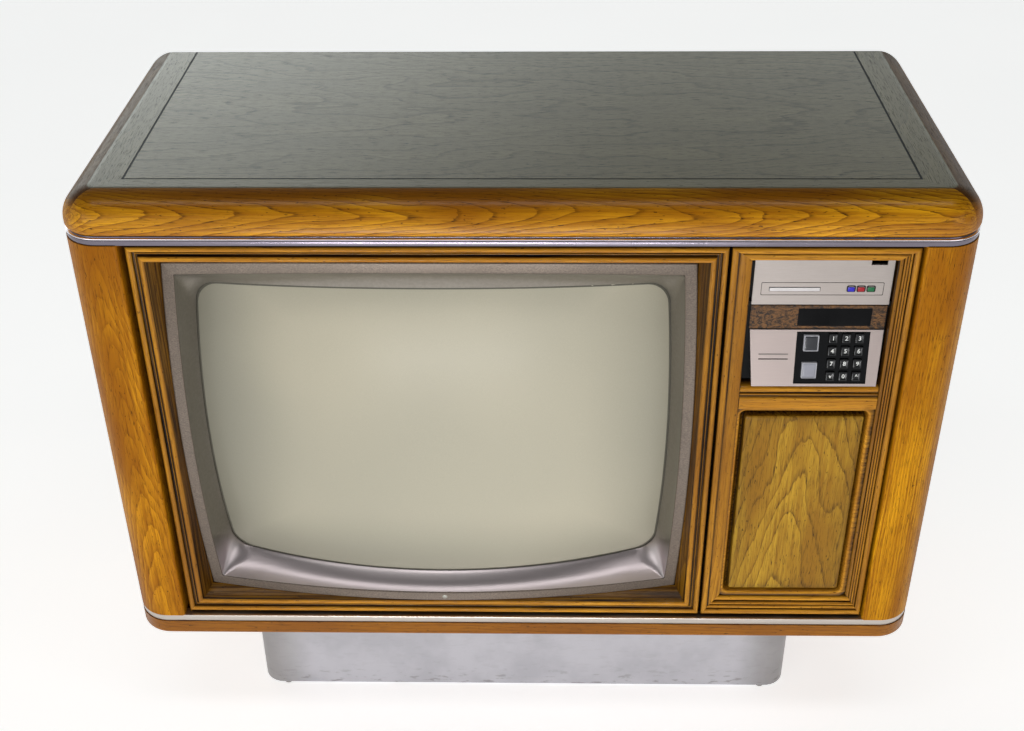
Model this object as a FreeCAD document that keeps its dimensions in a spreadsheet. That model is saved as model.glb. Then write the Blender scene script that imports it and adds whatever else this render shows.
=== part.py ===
import FreeCAD, Part
import os
import re

import Sketcher

# Console television on a swivelling pedestal: a 25 inch picture tube in a wooden cabinet.
# Frame: x to the viewer's right, front face towards -y, z up, origin on the floor under the
# middle of the whole object. Lengths in millimetres, angles in degrees.

SIZES = {
    # overall
    "total_depth": 500.0,
    "case_width": 962.0,
    "case_depth": 426.0,
    "case_corner": 41.0,
    # pedestal
    "pedestal_width": 704.0,
    "pedestal_depth": 294.0,
    "pedestal_height": 161.0,
    "pedestal_recess": 72.0,
    "pedestal_corner": 27.0,
    "pedestal_wall": 12.0,
    "pedestal_board_thick": 16.0,
    "glide_tall": 3.0,
    "glide_radius": 5.5,
    "glide_inset": 6.0,
    # swivel bearing
    "swivel_gap": 3.0,
    "swivel_side": 250.0,
    "swivel_tall": 10.0,
    "swivel_sheet": 2.0,
    "swivel_hole": 62.0,
    "race_radius": 105.0,
    "race_width": 14.0,
    "race_gap": 1.2,
    "ball_radius": 3.0,
    "ball_play": 0.05,
    "stop_radius": 4.0,
    "stop_circle": 82.0,
    "stop_angle": 51.2,
    "stop_clear": 1.0,
    # case
    "board_thick": 20.5,
    "board_round": 5.0,
    "lower_trim_tall": 9.5,
    "post_tall": 518.4,
    "upper_trim_tall": 10.1,
    "slab_tall": 42.5,
    "trim_depth": 14.0,
    "post_width": 62.0,
    "post_inner_round": 3.0,
    "side_thick": 18.0,
    "slab_round": 34.0,
    "slab_under_round": 6.0,
    "slab_back_corner": 30.0,
    "rail_side": 63.0,
    "rail_front": 51.0,
    "field_thick": 16.0,
    "inlay_width": 2.5,
    "inlay_depth": 1.2,
    # front: frames and baffle, heights above the posts' feet
    "frame_setback": 4.0,
    "frame_foot": 4.5,
    "frame_tall": 510.5,
    "moulding_depth": 26.0,
    "screen_frame_left": -412.5,
    "screen_frame_width": 630.0,
    "control_frame_left": 220.5,
    "control_frame_width": 195.5,
    "control_frame_thick": 16.0,
    "control_frame_round": 2.5,
    "baffle_setback": 30.0,
    "baffle_thick": 12.0,
    "baffle_play": 0.5,
    "bead_width": 18.0,
    "slope_width": 11.0,
    # control side openings
    "module_left": 242.5,
    "module_right": 394.5,
    "module_foot": 345.0,
    "module_head": 500.0,
    "sill_tall": 14.0,
    "sill_front": 1.0,
    "sill_top_front": 12.0,
    "recess_left": 243.0,
    "recess_right": 390.5,
    "recess_foot": 38.0,
    "recess_head": 311.0,
    "recess_corner": 8.0,
    "panel_margin": 6.0,
    "field_left": 253.0,
    "field_right": 383.5,
    "field_foot": 44.0,
    "field_head": 299.0,
    "field_setback": 9.0,
    "field_round": 3.0,
    # screen mask and picture tube
    "mask_play": 0.5,
    "mask_wall": 3.0,
    "mask_front": 5.5,
    "mask_curve": 2031.0,
    "mask_back": 60.0,
    "mask_slope_front": 1.5,
    "mask_slope_back": 22.0,
    "mask_corner": 2.0,
    "mask_inner_corner": 1.5,
    "mouth_front": 2.0,
    "mouth_half_width": 284.8,
    "mouth_half_height": 225.2,
    "mouth_corner": 5.0,
    "throat_half_width": 255.0,
    "throat_half_height": 179.5,
    "throat_corner": 30.0,
    "throat_past": 4.0,
    "glass_front": 2.0,
    "glass_gap": 1.0,
    "glass_curve": 900.0,
    "glass_thick": 12.0,
    "tube_half_width": 280.0,
    "tube_half_height": 216.0,
    "tube_corner": 55.0,
    "panel_back": 110.0,
    "funnel_wall": 4.0,
    "neck_radius": 14.5,
    "neck_start": 310.0,
    "neck_end": 430.0,
    "band_front": 64.0,
    "band_width": 34.0,
    "band_thick": 3.0,
    "lug_x": 300.0,
    "lug_z": 232.0,
    "lug_reach": 16.0,
    "lug_side": 70.0,
    "bolt_radius": 4.0,
    "bolt_past": 6.0,
    "spacer_wall": 3.0,
    "nut_wall": 3.5,
    "nut_thick": 5.0,
    "gun_setback": 92.0,
    "gun_stem_radius": 2.5,
    "gun_stem_long": 88.0,
    "yoke_front": 268.0,
    "coil_front": 112.0,
    "coil_half_width": 300.0,
    "coil_half_height": 234.0,
    "coil_corner": 70.0,
    "coil_radius": 7.0,
    "neck_card_width": 100.0,
    "neck_card_tall": 90.0,
    "neck_card_past": 6.0,
    "socket_radius": 23.0,
    "socket_long": 22.0,
    "socket_deep": 17.0,
    "socket_overlap": 16.0,
    "socket_play": 0.3,
    # electronics
    "card_thick": 1.6,
    "card_height": 14.0,
    "chassis_left": -340.0,
    "chassis_width": 420.0,
    "chassis_front": 245.0,
    "chassis_depth": 165.0,
    "chassis_sheet": 1.5,
    "chassis_lip": 26.0,
    "sink_thick": 3.0,
    "sink_tall": 90.0,
    "fin_long": 18.0,
    "fin_thick": 2.0,
    "fin_first": 6.0,
    "fin_pitch": 18.5,
    "card_margin_x": 4.0,
    "card_margin_y": 5.0,
    "pillar_radius": 4.0,
    "pillar_inset": 20.0,
    "flyback_x": 25.0,
    "flyback_y": 70.0,
    "flyback_wide": 22.0,
    "flyback_deep": 74.0,
    "flyback_tall": 68.0,
    "flyback_limb": 12.0,
    "flyback_coil_radius": 24.0,
    "flyback_coil_tall": 52.0,
    "flyback_coil_foot": 8.0,
    "flyback_coil_y": 100.0,
    "tuner_wide": 54.0,
    "tuner_deep": 130.0,
    "tuner_tall": 120.0,
    "tuner_wall": 1.5,
    "tuner_front": 200.0,
    "tuner_foot": 300.0,
    "tuner_socket_radius": 5.0,
    "tuner_socket_long": 12.0,
    "tuner_socket_first": 35.0,
    "tuner_socket_pitch": 45.0,
    # control module
    "housing_front": 16.0,
    "housing_back": 58.0,
    "housing_play": 1.0,
    "nose_left": 254.0,
    "nose_wide": 135.5,
    "nose_back": 6.0,
    "nose_lift": 2.0,
    "ear_side": 6.0,
    "ear_left_thick": 2.3,
    "ear_right_thick": 1.7,
    "compartment_deep": 38.0,
    "display_hole_deep": 16.0,
    "keypad_hole_margin": 7.0,
    "keypad_hole_tall": 59.5,
    "door_left": 246.5,
    "door_right": 392.0,
    "door_foot": 443.5,
    "door_head": 497.0,
    "door_front": 12.0,
    "door_thick": 3.0,
    "notch_wide": 17.0,
    "notch_tall": 5.5,
    "notch_inset": 24.5,
    "pin_left_long": 2.2,
    "pin_right_long": 1.9,
    "pin_radius": 1.2,
    "pin_play": 0.05,
    "strip_foot": 412.5,
    "strip_head": 441.0,
    "strip_front": 14.0,
    "strip_thick": 2.0,
    "window_left": 298.0,
    "window_right": 376.5,
    "window_foot": 415.5,
    "window_head": 437.5,
    "keypad_front": 13.5,
    "keypad_head": 411.0,
    "keypad_tall": 66.9,
    "keypad_thick": 2.5,
    "keypad_tilt": 9.5,
    "well_left": 299.0,
    "well_right": 377.5,
    "well_top": 2.5,
    "well_foot": 63.4,
    "well_depth": 1.0,
    "key_width": 9.5,
    "key_height": 11.0,
    "key_proud": 1.5,
    "key_play": 0.3,
    "cap_past": 2.4,
    "skirt_thick": 1.2,
    "skirt_wide": 2.0,
    "skirt_high": 1.6,
    "button_width": 16.5,
    "button_height": 19.0,
    "button_x": 315.0,
    "knob_radius": 9.0,
    "knob_front": 22.0,
    "knob_deep": 12.0,
    "knob_height": 470.0,
    "shaft_radius": 3.0,
    "shaft_play": 0.4,
    "pot_card_wide": 130.0,
    "pot_card_tall": 40.0,
    "pot_radius": 8.0,
    "pot_thick": 3.0,
    "keypad_card_tall": 54.0,
    "keypad_card_deep": 6.0,
    # rear
    "cover_margin": 3.0,
    "cover_thick": 3.0,
    "bulge_half_width": 300.0,
    "bulge_half_height": 200.0,
    "bulge_back_half_width": 190.0,
    "bulge_back_half_height": 130.0,
    "slot_width": 5.0,
    "slot_tall": 46.0,
    "slot_pitch": 14.0,
    "screw_radius": 2.0,
    "screw_head": 4.5,
    "screw_head_thick": 2.5,
    "screw_reach": 16.0,
    "screw_margin": 24.0,
    "terminal_left": 265.0,
    "terminal_wide": 130.0,
    "terminal_tall": 60.0,
    "terminal_foot": 330.0,
    "inlet_left": 300.0,
    "inlet_drop": 90.0,
    "inlet_wide": 40.0,
    "inlet_deep": 16.0,
    "inlet_tall": 24.0,
    "inlet_wall": 4.0,
    "speaker_x": 395.0,
    "speaker_y": 110.0,
    "speaker_radius": 52.0,
    "sound_slot_long": 56.0,
    "sound_pitch": 11.0,
}

# Planes and levels worked out from the sizes.
FRONT = "(-total_depth / 2)"
BACK = f"({FRONT} + case_depth)"
LEFT = "(-case_width / 2)"
BOARD_TOP = "(pedestal_height + board_thick)"
POST_FOOT = f"({BOARD_TOP} + lower_trim_tall)"
POST_HEAD = f"({POST_FOOT} + post_tall)"
SLAB_FOOT = f"({POST_HEAD} + upper_trim_tall)"
SLAB_TOP = f"({SLAB_FOOT} + slab_tall)"
PEDESTAL_Y = f"({FRONT} + pedestal_recess)"
SWIVEL_Y = f"({PEDESTAL_Y} + pedestal_depth / 2)"
SWIVEL_FOOT = "(pedestal_height - swivel_tall)"
BALL_Z = "(pedestal_height - swivel_tall / 2)"
FRAME_Y = f"({FRONT} + frame_setback)"
FRAME_FOOT = f"({POST_FOOT} + frame_foot)"
BAFFLE_Y = f"({FRONT} + baffle_setback)"
SCREEN_X = "(screen_frame_left + screen_frame_width / 2)"
SCREEN_Z = f"({FRAME_FOOT} + frame_tall / 2)"
KEYPAD_Z = f"({POST_FOOT} + keypad_head)"
KEYPAD_Y = f"({FRONT} + keypad_front)"
HINGE_Y = f"({FRONT} + door_front + door_thick / 2)"
HINGE_Z = f"({POST_FOOT} + door_foot + door_thick / 2)"
NECK_END = f"({FRONT} + neck_end)"
CHASSIS_Y = f"({FRONT} + chassis_front)"
CARD_Z = f"({BOARD_TOP} + card_height)"
CARD_TOP = f"({CARD_Z} + card_thick)"
KNOB_Z = f"({POST_FOOT} + knob_height)"

X_AXIS = FreeCAD.Vector(1, 0, 0)
Y_AXIS = FreeCAD.Vector(0, 1, 0)
Z_AXIS = FreeCAD.Vector(0, 0, 1)
BALL_COUNT = 24
SOUND_SLOTS = 7
FIN_COUNT = 9
OVERCUT = 10.0

KEYS = [
    ["key_1", "key_2", "key_3"],
    ["key_4", "key_5", "key_6"],
    ["key_7", "key_8", "key_9"],
    ["key_down", "key_0", "key_up"],
]
KEY_FIRST_X = 338.4
KEY_FIRST_DROP = 9.8
KEY_PITCH_X = 14.2
KEY_PITCH_Z = 14.9
BUTTON_DROPS = {"power_button": 15.4, "recall_button": 47.5}
KNOBS = {"brightness_knob": 275.0, "color_knob": 319.0, "tint_knob": 363.0}

# The keypad plate's corners: across, and down from its top edge.
KEYPAD_OUTLINE = [("248", "0"), ("391.5", "0"), ("389.5", "-keypad_tall"), ("253.5", "-keypad_tall")]
# Moulding round the screen: depth behind its front and distance in from its outer edge.
SCREEN_PROFILE = [
    ("moulding_depth", "0"), ("2", "0"), ("0", "3"), ("2", "6"),
    ("3.5", "7"), ("3.5", "11"),
    ("1", "12"), ("0", "15"), ("1.5", "bead_width"),
    ("22", "bead_width + slope_width"), ("moulding_depth", "bead_width + slope_width"),
]
# The tube's cone between its panel and neck: depth, half width, half height and corner radius.
FUNNEL_STATIONS = [(180, 205, 165, 80), (235, 112, 98, 80), (270, 49, 46, 44)]
# The gun's cups: distance before the neck's end, length and radius.
GUN_CUPS = [(92, 20, 8.0), (68, 30, 9.0), (34, 26, 8.5)]
# Turned outlines: radius and height.
YOKE_OUTLINE = [("53", "0"), ("82", "0"), ("78", "14"), ("56", "40"), ("50", "66"), ("17", "66"), ("17", "52")]
SPEAKER_OUTLINE = [
    ("speaker_radius - 10", "0"), ("speaker_radius", "0"), ("speaker_radius", "3"),
    ("speaker_radius - 6", "4"), ("26", "26"), ("26", "44"), ("0", "44"), ("0", "20"), ("18", "20"),
]

doc = FreeCAD.newDocument("ConsoleTelevision")
sheet = doc.addObject("Spreadsheet::Sheet", "Dims")
for row, (word, size) in enumerate(SIZES.items(), 1):
    sheet.set(f"A{row}", word)
    sheet.set(f"B{row}", str(size))
    sheet.setAlias(f"B{row}", word)
doc.recompute()


# ---------------------------------------------------------------- helpers

def formula(text):
    """Write the sheet's name before each of its words in a formula."""
    return re.sub(r"[a-z_]+", lambda found: "Dims." + found[0] if found[0] in SIZES else found[0], str(text))


def value(text):
    """The number that a formula gives with the present sizes."""
    return float(sheet.evalExpression(formula(text)))


def bind(item, name, text):
    item.setExpression(name, formula(text))


def place(item, at, axis=None, turn=None):
    """Put an item at three formulas, turned about an axis by a fourth."""
    if axis is not None:
        item.Placement = FreeCAD.Placement(FreeCAD.Vector(), FreeCAD.Rotation(axis, 1.0))
        bind(item, ".Placement.Rotation.Angle", turn)
    for letter, text in zip("xyz", at):
        bind(item, f".Placement.Base.{letter}", text)
    return item


def box(name, size, at, axis=None, turn=None):
    item = doc.addObject("Part::Box", name)
    for prop, text in zip(("Length", "Width", "Height"), size):
        bind(item, prop, text)
    return place(item, at, axis, turn)


def rod(name, radius, length, at, along="z"):
    item = doc.addObject("Part::Cylinder", name)
    bind(item, "Radius", radius)
    bind(item, "Height", length)
    turns = {"x": (Y_AXIS, 90), "y": (X_AXIS, -90), "z": (None, None)}
    return place(item, at, *turns[along])


def cone(name, radius, end_radius, length, at, along="z"):
    item = doc.addObject("Part::Cone", name)
    bind(item, "Radius1", radius)
    bind(item, "Radius2", end_radius)
    bind(item, "Height", length)
    turns = {"x": (Y_AXIS, 90), "y": (X_AXIS, -90), "z": (None, None)}
    return place(item, at, *turns[along])


def wedge(name, near, far, length, at):
    """A tapered block along +y: half width and half height at its near and far ends."""
    item = doc.addObject("Part::Wedge", name)
    halves = {"X": near[0], "Z": near[1], "X2": far[0], "Z2": far[1]}
    for letter, half in halves.items():
        bind(item, letter + "min", f"-({half})")
        bind(item, letter + "max", half)
    bind(item, "Ymin", "0")
    bind(item, "Ymax", length)
    return place(item, at)


def cut(name, base, tools):
    item = doc.addObject("Part::Cut", name)
    item.Base = base
    item.Tool = tools[0] if len(tools) == 1 else fuse(name + "_tools", tools)
    return item


def fuse(name, items):
    item = doc.addObject("Part::MultiFuse", name)
    item.Shapes = items
    return item


def common(name, base, tool):
    item = doc.addObject("Part::Common", name)
    item.Base = base
    item.Tool = tool
    return item


def group(name, items):
    """Separate solids that share one node."""
    item = doc.addObject("Part::Compound", name)
    item.Links = items
    return item


def free_shape(name, shape):
    item = doc.addObject("Part::Feature", name)
    item.Shape = shape
    return item


def plane(body, role):
    return next(item for item in body.Origin.OriginFeatures if item.Role == role)


def sketch(body, name, role, points):
    """A closed outline of straight lines whose corners follow the sheet."""
    item = body.newObject("Sketcher::SketchObject", name)
    item.AttachmentSupport = (plane(body, role), [""])
    item.MapMode = "FlatFace"
    corners = [FreeCAD.Vector(value(across), value(up), 0) for across, up in points]
    for index, corner in enumerate(corners):
        item.addGeometry(Part.LineSegment(corner, corners[(index + 1) % len(corners)]))
    for index, corner in enumerate(corners):
        item.addConstraint(Sketcher.Constraint("Coincident", index, 2, (index + 1) % len(corners), 1))
        for kind, number, text in (("DistanceX", corner.x, points[index][0]),
                                   ("DistanceY", corner.y, points[index][1])):
            key = item.addConstraint(Sketcher.Constraint(kind, -1, 1, index, 1, number))
            bind(item, f"Constraints[{key}]", text)
    return item


def prism(name, role, points, length, at, axis=None, turn=None, reverse=False):
    body = doc.addObject("PartDesign::Body", name)
    profile = sketch(body, name + "_outline", role, points)
    pad = body.newObject("PartDesign::Pad", name + "_pad")
    pad.Profile = profile
    pad.Reversed = reverse
    bind(pad, "Length", length)
    return place(body, at, axis, turn)


def turned(name, points, at, axis=None, turn=None):
    """A piece turned on a lathe: the outline's corners are radius and height."""
    body = doc.addObject("PartDesign::Body", name)
    profile = sketch(body, name + "_outline", "XZ_Plane", points)
    lathe = body.newObject("PartDesign::Revolution", name + "_turn")
    lathe.Profile = profile
    lathe.ReferenceAxis = (profile, ["V_Axis"])
    lathe.Angle = 360.0
    return place(body, at, axis, turn)


def rounded_box(name, size, at, rounds, axis=None, turn=None):
    """A block with rounds in order: each is a test of an edge's middle and direction, and a radius."""
    body = doc.addObject("PartDesign::Body", name)
    last = body.newObject("PartDesign::AdditiveBox", name + "_block")
    for prop, text in zip(("Length", "Width", "Height"), size):
        bind(last, prop, text)
    doc.recompute()
    for number, (wanted, radius) in enumerate(rounds):
        chosen = [f"Edge{index}" for index, edge in enumerate(last.Shape.Edges, 1)
                  if wanted(*edge_facts(edge, last.Shape.BoundBox))]
        step = body.newObject("PartDesign::Fillet", f"{name}_round_{number}")
        step.Base = (last, chosen)
        bind(step, "Radius", radius)
        doc.recompute()
        last = step
    return place(body, at, axis, turn)


def edge_facts(edge, bounds):
    """An edge's middle as fractions of the block, and whether it stands upright."""
    middle = edge.valueAt((edge.FirstParameter + edge.LastParameter) / 2)
    fractions = ((middle.x - bounds.XMin) / bounds.XLength,
                 (middle.y - bounds.YMin) / bounds.YLength,
                 (middle.z - bounds.ZMin) / bounds.ZLength)
    upright = bounds.ZLength - edge.BoundBox.ZLength < 0.001
    return fractions, upright


def upright(spot, stands):
    return stands


def upright_front(spot, stands):
    return stands and spot[1] < 0.5


def upright_back(spot, stands):
    return stands and spot[1] > 0.5


def top_but_back(spot, stands):
    return spot[2] > 0.999 and spot[1] < 0.999


def foot_but_back(spot, stands):
    return spot[2] < 0.001 and spot[1] < 0.999


def front_face(spot, stands):
    return spot[1] < 0.001


def mitred_frame(name, width, height, profile, at):
    """Four mitred lengths: the profile's corners are depth and distance in from the outer edge."""
    body = doc.addObject("PartDesign::Body", name)
    corners = [("0", "0"), (width, "0"), (width, height), ("0", height)]
    path = sketch(body, name + "_path", "XZ_Plane", corners)
    section = sketch(body, name + "_section", "YZ_Plane", profile)
    pipe = body.newObject("PartDesign::AdditivePipe", name + "_pipe")
    pipe.Profile = section
    pipe.Spine = (path, [f"Edge{index}" for index in (1, 2, 3, 4)])
    pipe.Transition = "Right corner"
    return place(body, at)


def rounded_loop(depth, half_width, half_height, radius):
    """A rounded rectangle round the screen's axis, at a depth behind the front plane."""
    middle_x, y, middle_z = value(SCREEN_X), value(FRONT) + depth, value(SCREEN_Z)
    slant = radius * (1 - 0.5 ** 0.5)
    edges = []
    for side_x, side_z, first in ((1, 1, "x"), (-1, 1, "z"), (-1, -1, "x"), (1, -1, "z")):
        along_x = FreeCAD.Vector(middle_x + side_x * (half_width - radius), y, middle_z + side_z * half_height)
        along_z = FreeCAD.Vector(middle_x + side_x * half_width, y, middle_z + side_z * (half_height - radius))
        mid = FreeCAD.Vector(middle_x + side_x * (half_width - slant), y,
                             middle_z + side_z * (half_height - slant))
        start, end = (along_z, along_x) if first == "x" else (along_x, along_z)
        edges.append((start, mid, end))
    wire = []
    for index, (start, mid, end) in enumerate(edges):
        wire.append(Part.Arc(start, mid, end).toShape())
        wire.append(Part.LineSegment(end, edges[(index + 1) % 4][0]).toShape())
    return Part.Wire(wire)


def rounded_loft(sections):
    """A solid through rounded rectangles, with straight sides between them."""
    return Part.makeLoft([rounded_loop(*section) for section in sections], True, True)


# ---------------------------------------------------------------- pedestal and swivel

def pedestal_shell():
    height = "pedestal_height - glide_tall - swivel_gap"
    outer = rounded_box("shell_outer", ("pedestal_width", "pedestal_depth", height),
                        ("-pedestal_width / 2", PEDESTAL_Y, "glide_tall"), [(upright, "pedestal_corner")])
    inner = rounded_box("shell_inner",
                        ("pedestal_width - 2 * pedestal_wall", "pedestal_depth - 2 * pedestal_wall",
                         "pedestal_height"),
                        ("-pedestal_width / 2 + pedestal_wall", f"{PEDESTAL_Y} + pedestal_wall", "0"),
                        [(upright, "pedestal_corner - pedestal_wall")])
    return cut("shell_body", outer, [inner])


def pedestal_board():
    return rounded_box("pedestal_board_block",
                       ("pedestal_width - 2 * pedestal_wall", "pedestal_depth - 2 * pedestal_wall",
                        "pedestal_board_thick"),
                       ("-pedestal_width / 2 + pedestal_wall", f"{PEDESTAL_Y} + pedestal_wall",
                        f"{SWIVEL_FOOT} - pedestal_board_thick"),
                       [(upright, "pedestal_corner - pedestal_wall")])


def floor_glides():
    pads = []
    for side in (-1, 1):
        for near in (0, 1):
            x = f"{side} * (pedestal_width / 2 - pedestal_corner - glide_radius)"
            y = f"{PEDESTAL_Y} + glide_inset + {near} * (pedestal_depth - 2 * glide_inset)"
            pads.append(rod(f"glide_{side + 1}_{near}", "glide_radius", "glide_tall", (x, y, "0")))
    return group("glides", pads)


def swivel_plate(name, plate_foot, ring_foot, ring_tall):
    """A square sheet with a raised race round its hole."""
    middle = ("0", SWIVEL_Y, plate_foot)
    sheet_metal = box(name + "_sheet", ("swivel_side", "swivel_side", "swivel_sheet"),
                      ("-swivel_side / 2", f"{SWIVEL_Y} - swivel_side / 2", plate_foot))
    ring = rod(name + "_ring", "race_radius + race_width / 2", ring_tall, ("0", SWIVEL_Y, ring_foot))
    ring_hole = rod(name + "_ring_hole", "race_radius - race_width / 2", ring_tall, ("0", SWIVEL_Y, ring_foot))
    race = cut(name + "_race", ring, [ring_hole])
    hole = rod(name + "_hole", "swivel_hole", "swivel_sheet", middle)
    groove = doc.addObject("Part::Torus", name + "_groove")
    bind(groove, "Radius1", "race_radius")
    bind(groove, "Radius2", "ball_radius + ball_play")
    place(groove, ("0", SWIVEL_Y, BALL_Z))
    return cut(name + "_plate", fuse(name + "_stamping", [sheet_metal, race]), [hole, groove])


def swivel_lower_plate():
    ring_tall = "swivel_tall / 2 - swivel_sheet - race_gap / 2"
    plate = swivel_plate("lower", SWIVEL_FOOT, f"{SWIVEL_FOOT} + swivel_sheet", ring_tall)
    stops = []
    for side in (-1, 1):
        x = f"{side} * stop_circle * sin(stop_angle)"
        y = f"{SWIVEL_Y} + stop_circle * cos(stop_angle)"
        at = (x, y, f"{SWIVEL_FOOT} + swivel_sheet")
        stops.append(rod(f"lower_stop_{side + 1}", "stop_radius", "swivel_tall - 2 * swivel_sheet - stop_clear", at))
    return fuse("lower_plate_and_stops", [plate] + stops)


def swivel_upper_plate():
    sheet_foot = "pedestal_height - swivel_sheet"
    ring_tall = "swivel_tall / 2 - swivel_sheet - race_gap / 2"
    plate = swivel_plate("upper", sheet_foot, f"{sheet_foot} - ({ring_tall})", ring_tall)
    stop = rod("upper_stop", "stop_radius", "swivel_tall - 2 * swivel_sheet - stop_clear",
               ("0", f"{SWIVEL_Y} + stop_circle", f"{SWIVEL_FOOT} + swivel_sheet + stop_clear"))
    return fuse("upper_plate_and_stop", [plate, stop])


def swivel_balls():
    balls = []
    for index in range(BALL_COUNT):
        ball = doc.addObject("Part::Sphere", f"ball_{index}")
        bind(ball, "Radius", "ball_radius")
        angle = 360.0 * index / BALL_COUNT
        place(ball, (f"race_radius * cos({angle})", f"{SWIVEL_Y} + race_radius * sin({angle})", BALL_Z))
        balls.append(ball)
    return group("balls", balls)


# ---------------------------------------------------------------- wooden case

def bottom_board():
    board = rounded_box("bottom_block", ("case_width", "case_depth", "board_thick"),
                        (LEFT, FRONT, "pedestal_height"),
                        [(upright_front, "case_corner"), (foot_but_back, "board_round")])
    slots = []
    for index in range(SOUND_SLOTS):
        x = f"speaker_x + {index - (SOUND_SLOTS - 1) / 2} * sound_pitch - slot_width / 2"
        slots.append(box(f"sound_slot_{index}", ("slot_width", "sound_slot_long", "board_thick"),
                         (x, f"{FRONT} + speaker_y - sound_slot_long / 2", "pedestal_height")))
    return cut("bottom_slotted", board, slots)


def trim_strip(name, foot, tall):
    """A strip round the front and sides, open at the back."""
    outer = rounded_box(name + "_outer", ("case_width", "case_depth", tall), (LEFT, FRONT, foot),
                        [(upright_front, "case_corner")])
    inner = rounded_box(name + "_inner", ("case_width - 2 * trim_depth", "case_depth", tall),
                        (f"{LEFT} + trim_depth", f"{FRONT} + trim_depth", foot),
                        [(upright_front, "case_corner - trim_depth")])
    return cut(name + "_strip", outer, [inner])


def screw_spots():
    """Where the back cover's screws enter the sides: x and z formulas."""
    spots = []
    for side in (-1, 1):
        for step in range(5):
            x = f"{side} * (case_width / 2 - side_thick / 2)"
            z = f"{POST_FOOT} + screw_margin + {step} * (post_tall - 2 * screw_margin) / 4"
            spots.append((x, z))
    return spots


def screw_shank(name, spot):
    x, z = spot
    return rod(name, "screw_radius", "cover_thick + screw_reach", (x, f"{BACK} - screw_reach", z), "y")


def side_panel(name, x, spots):
    panel = box(name + "_sheet", ("side_thick", "case_depth - post_width", "post_tall"),
                (x, f"{FRONT} + post_width", POST_FOOT))
    holes = [screw_shank(f"{name}_pilot_{index}", spot) for index, spot in enumerate(spots)]
    return cut(name + "_drilled", panel, holes)


def corner_post(name, side):
    def outer_edge(spot, stands):
        return stands and spot[1] < 0.5 and (spot[0] - 0.5) * side > 0

    def inner_edge(spot, stands):
        return stands and spot[1] < 0.5 and (spot[0] - 0.5) * side < -0.4

    x = LEFT if side < 0 else "case_width / 2 - post_width"
    return rounded_box(name + "_block", ("post_width", "post_width", "post_tall"), (x, FRONT, POST_FOOT),
                       [(outer_edge, "case_corner"), (inner_edge, "post_inner_round")])


def top_slab():
    """The whole top before it is divided: rounded in front and at the sides, square behind."""
    bull = rounded_box("slab_bull", ("case_width", "case_depth + 2 * slab_back_corner", "slab_tall"),
                       (LEFT, FRONT, SLAB_FOOT),
                       [(upright_front, "case_corner"), (top_but_back, "slab_round"),
                        (foot_but_back, "slab_under_round")])
    plan = rounded_box("slab_plan", ("case_width", "case_depth", "slab_tall"), (LEFT, FRONT, SLAB_FOOT),
                       [(upright_back, "slab_back_corner")])
    return common("slab", bull, plan)


def top_rail(name, slab, corners):
    region = prism(name + "_region", "XY_Plane", corners, "slab_tall", ("0", FRONT, SLAB_FOOT))
    return common(name + "_cut", slab, region)


def top_rail_front(slab):
    half = "case_width / 2"
    inner = f"({half} - rail_side)"
    return top_rail("front", slab, [(f"-{half}", "0"), (half, "0"), (inner, "rail_front"),
                                    (f"-{inner}", "rail_front")])


def top_rail_side(name, slab, side):
    outer = f"{side} * case_width / 2"
    inner = f"{side} * (case_width / 2 - rail_side)"
    return top_rail(name, slab, [(outer, "0"), (inner, "rail_front"), (inner, "case_depth"),
                                 (outer, "case_depth")])


def top_field():
    half = "(case_width / 2 - rail_side)"
    core = box("field_core", (f"2 * {half}", "case_depth - rail_front", "field_thick - inlay_depth"),
               (f"-{half}", f"{FRONT} + rail_front", f"{SLAB_TOP} - field_thick"))
    face = box("field_face", (f"2 * {half} - 2 * inlay_width", "case_depth - rail_front - inlay_width",
                              "inlay_depth"),
               (f"-{half} + inlay_width", f"{FRONT} + rail_front + inlay_width", f"{SLAB_TOP} - inlay_depth"))
    cleat = box("field_cleat", (f"2 * {half}", "side_thick", "slab_tall - field_thick"),
                (f"-{half}", f"{BACK} - side_thick", SLAB_FOOT))
    return fuse("field_body", [core, face, cleat])


# ---------------------------------------------------------------- front frames

def bolt_spots():
    return [(f"{SCREEN_X} + {side} * lug_x", f"{SCREEN_Z} + {level} * lug_z")
            for side in (-1, 1) for level in (-1, 1)]


def tube_bolt(name, spot):
    x, z = spot
    return rod(name, "bolt_radius", "band_front + band_thick - baffle_setback + bolt_past", (x, BAFFLE_Y, z), "y")


def front_baffle():
    width = "case_width - 2 * post_width - 2 * baffle_play"
    board = box("baffle_sheet", (width, "baffle_thick", "post_tall"), (f"-({width}) / 2", BAFFLE_Y, POST_FOOT))
    half_width = "(screen_frame_width / 2 - bead_width - slope_width + baffle_play)"
    half_height = "(frame_tall / 2 - bead_width - slope_width + baffle_play)"
    screen_hole = box("baffle_screen_hole", (f"2 * {half_width}", "baffle_thick", f"2 * {half_height}"),
                      (f"{SCREEN_X} - {half_width}", BAFFLE_Y, f"{SCREEN_Z} - {half_height}"))
    control_hole = box("baffle_control_hole",
                       ("module_right - module_left", "baffle_thick", "module_head - module_foot"),
                       ("module_left", BAFFLE_Y, f"{POST_FOOT} + module_foot"))
    bolts = [tube_bolt(f"baffle_bolt_hole_{index}", spot) for index, spot in enumerate(bolt_spots())]
    return cut("baffle_drilled", board, [screen_hole, control_hole] + bolts)


def screen_moulding():
    return mitred_frame("screen_frame", "screen_frame_width", "frame_tall", SCREEN_PROFILE,
                        ("screen_frame_left", FRAME_Y, FRAME_FOOT))


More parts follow.
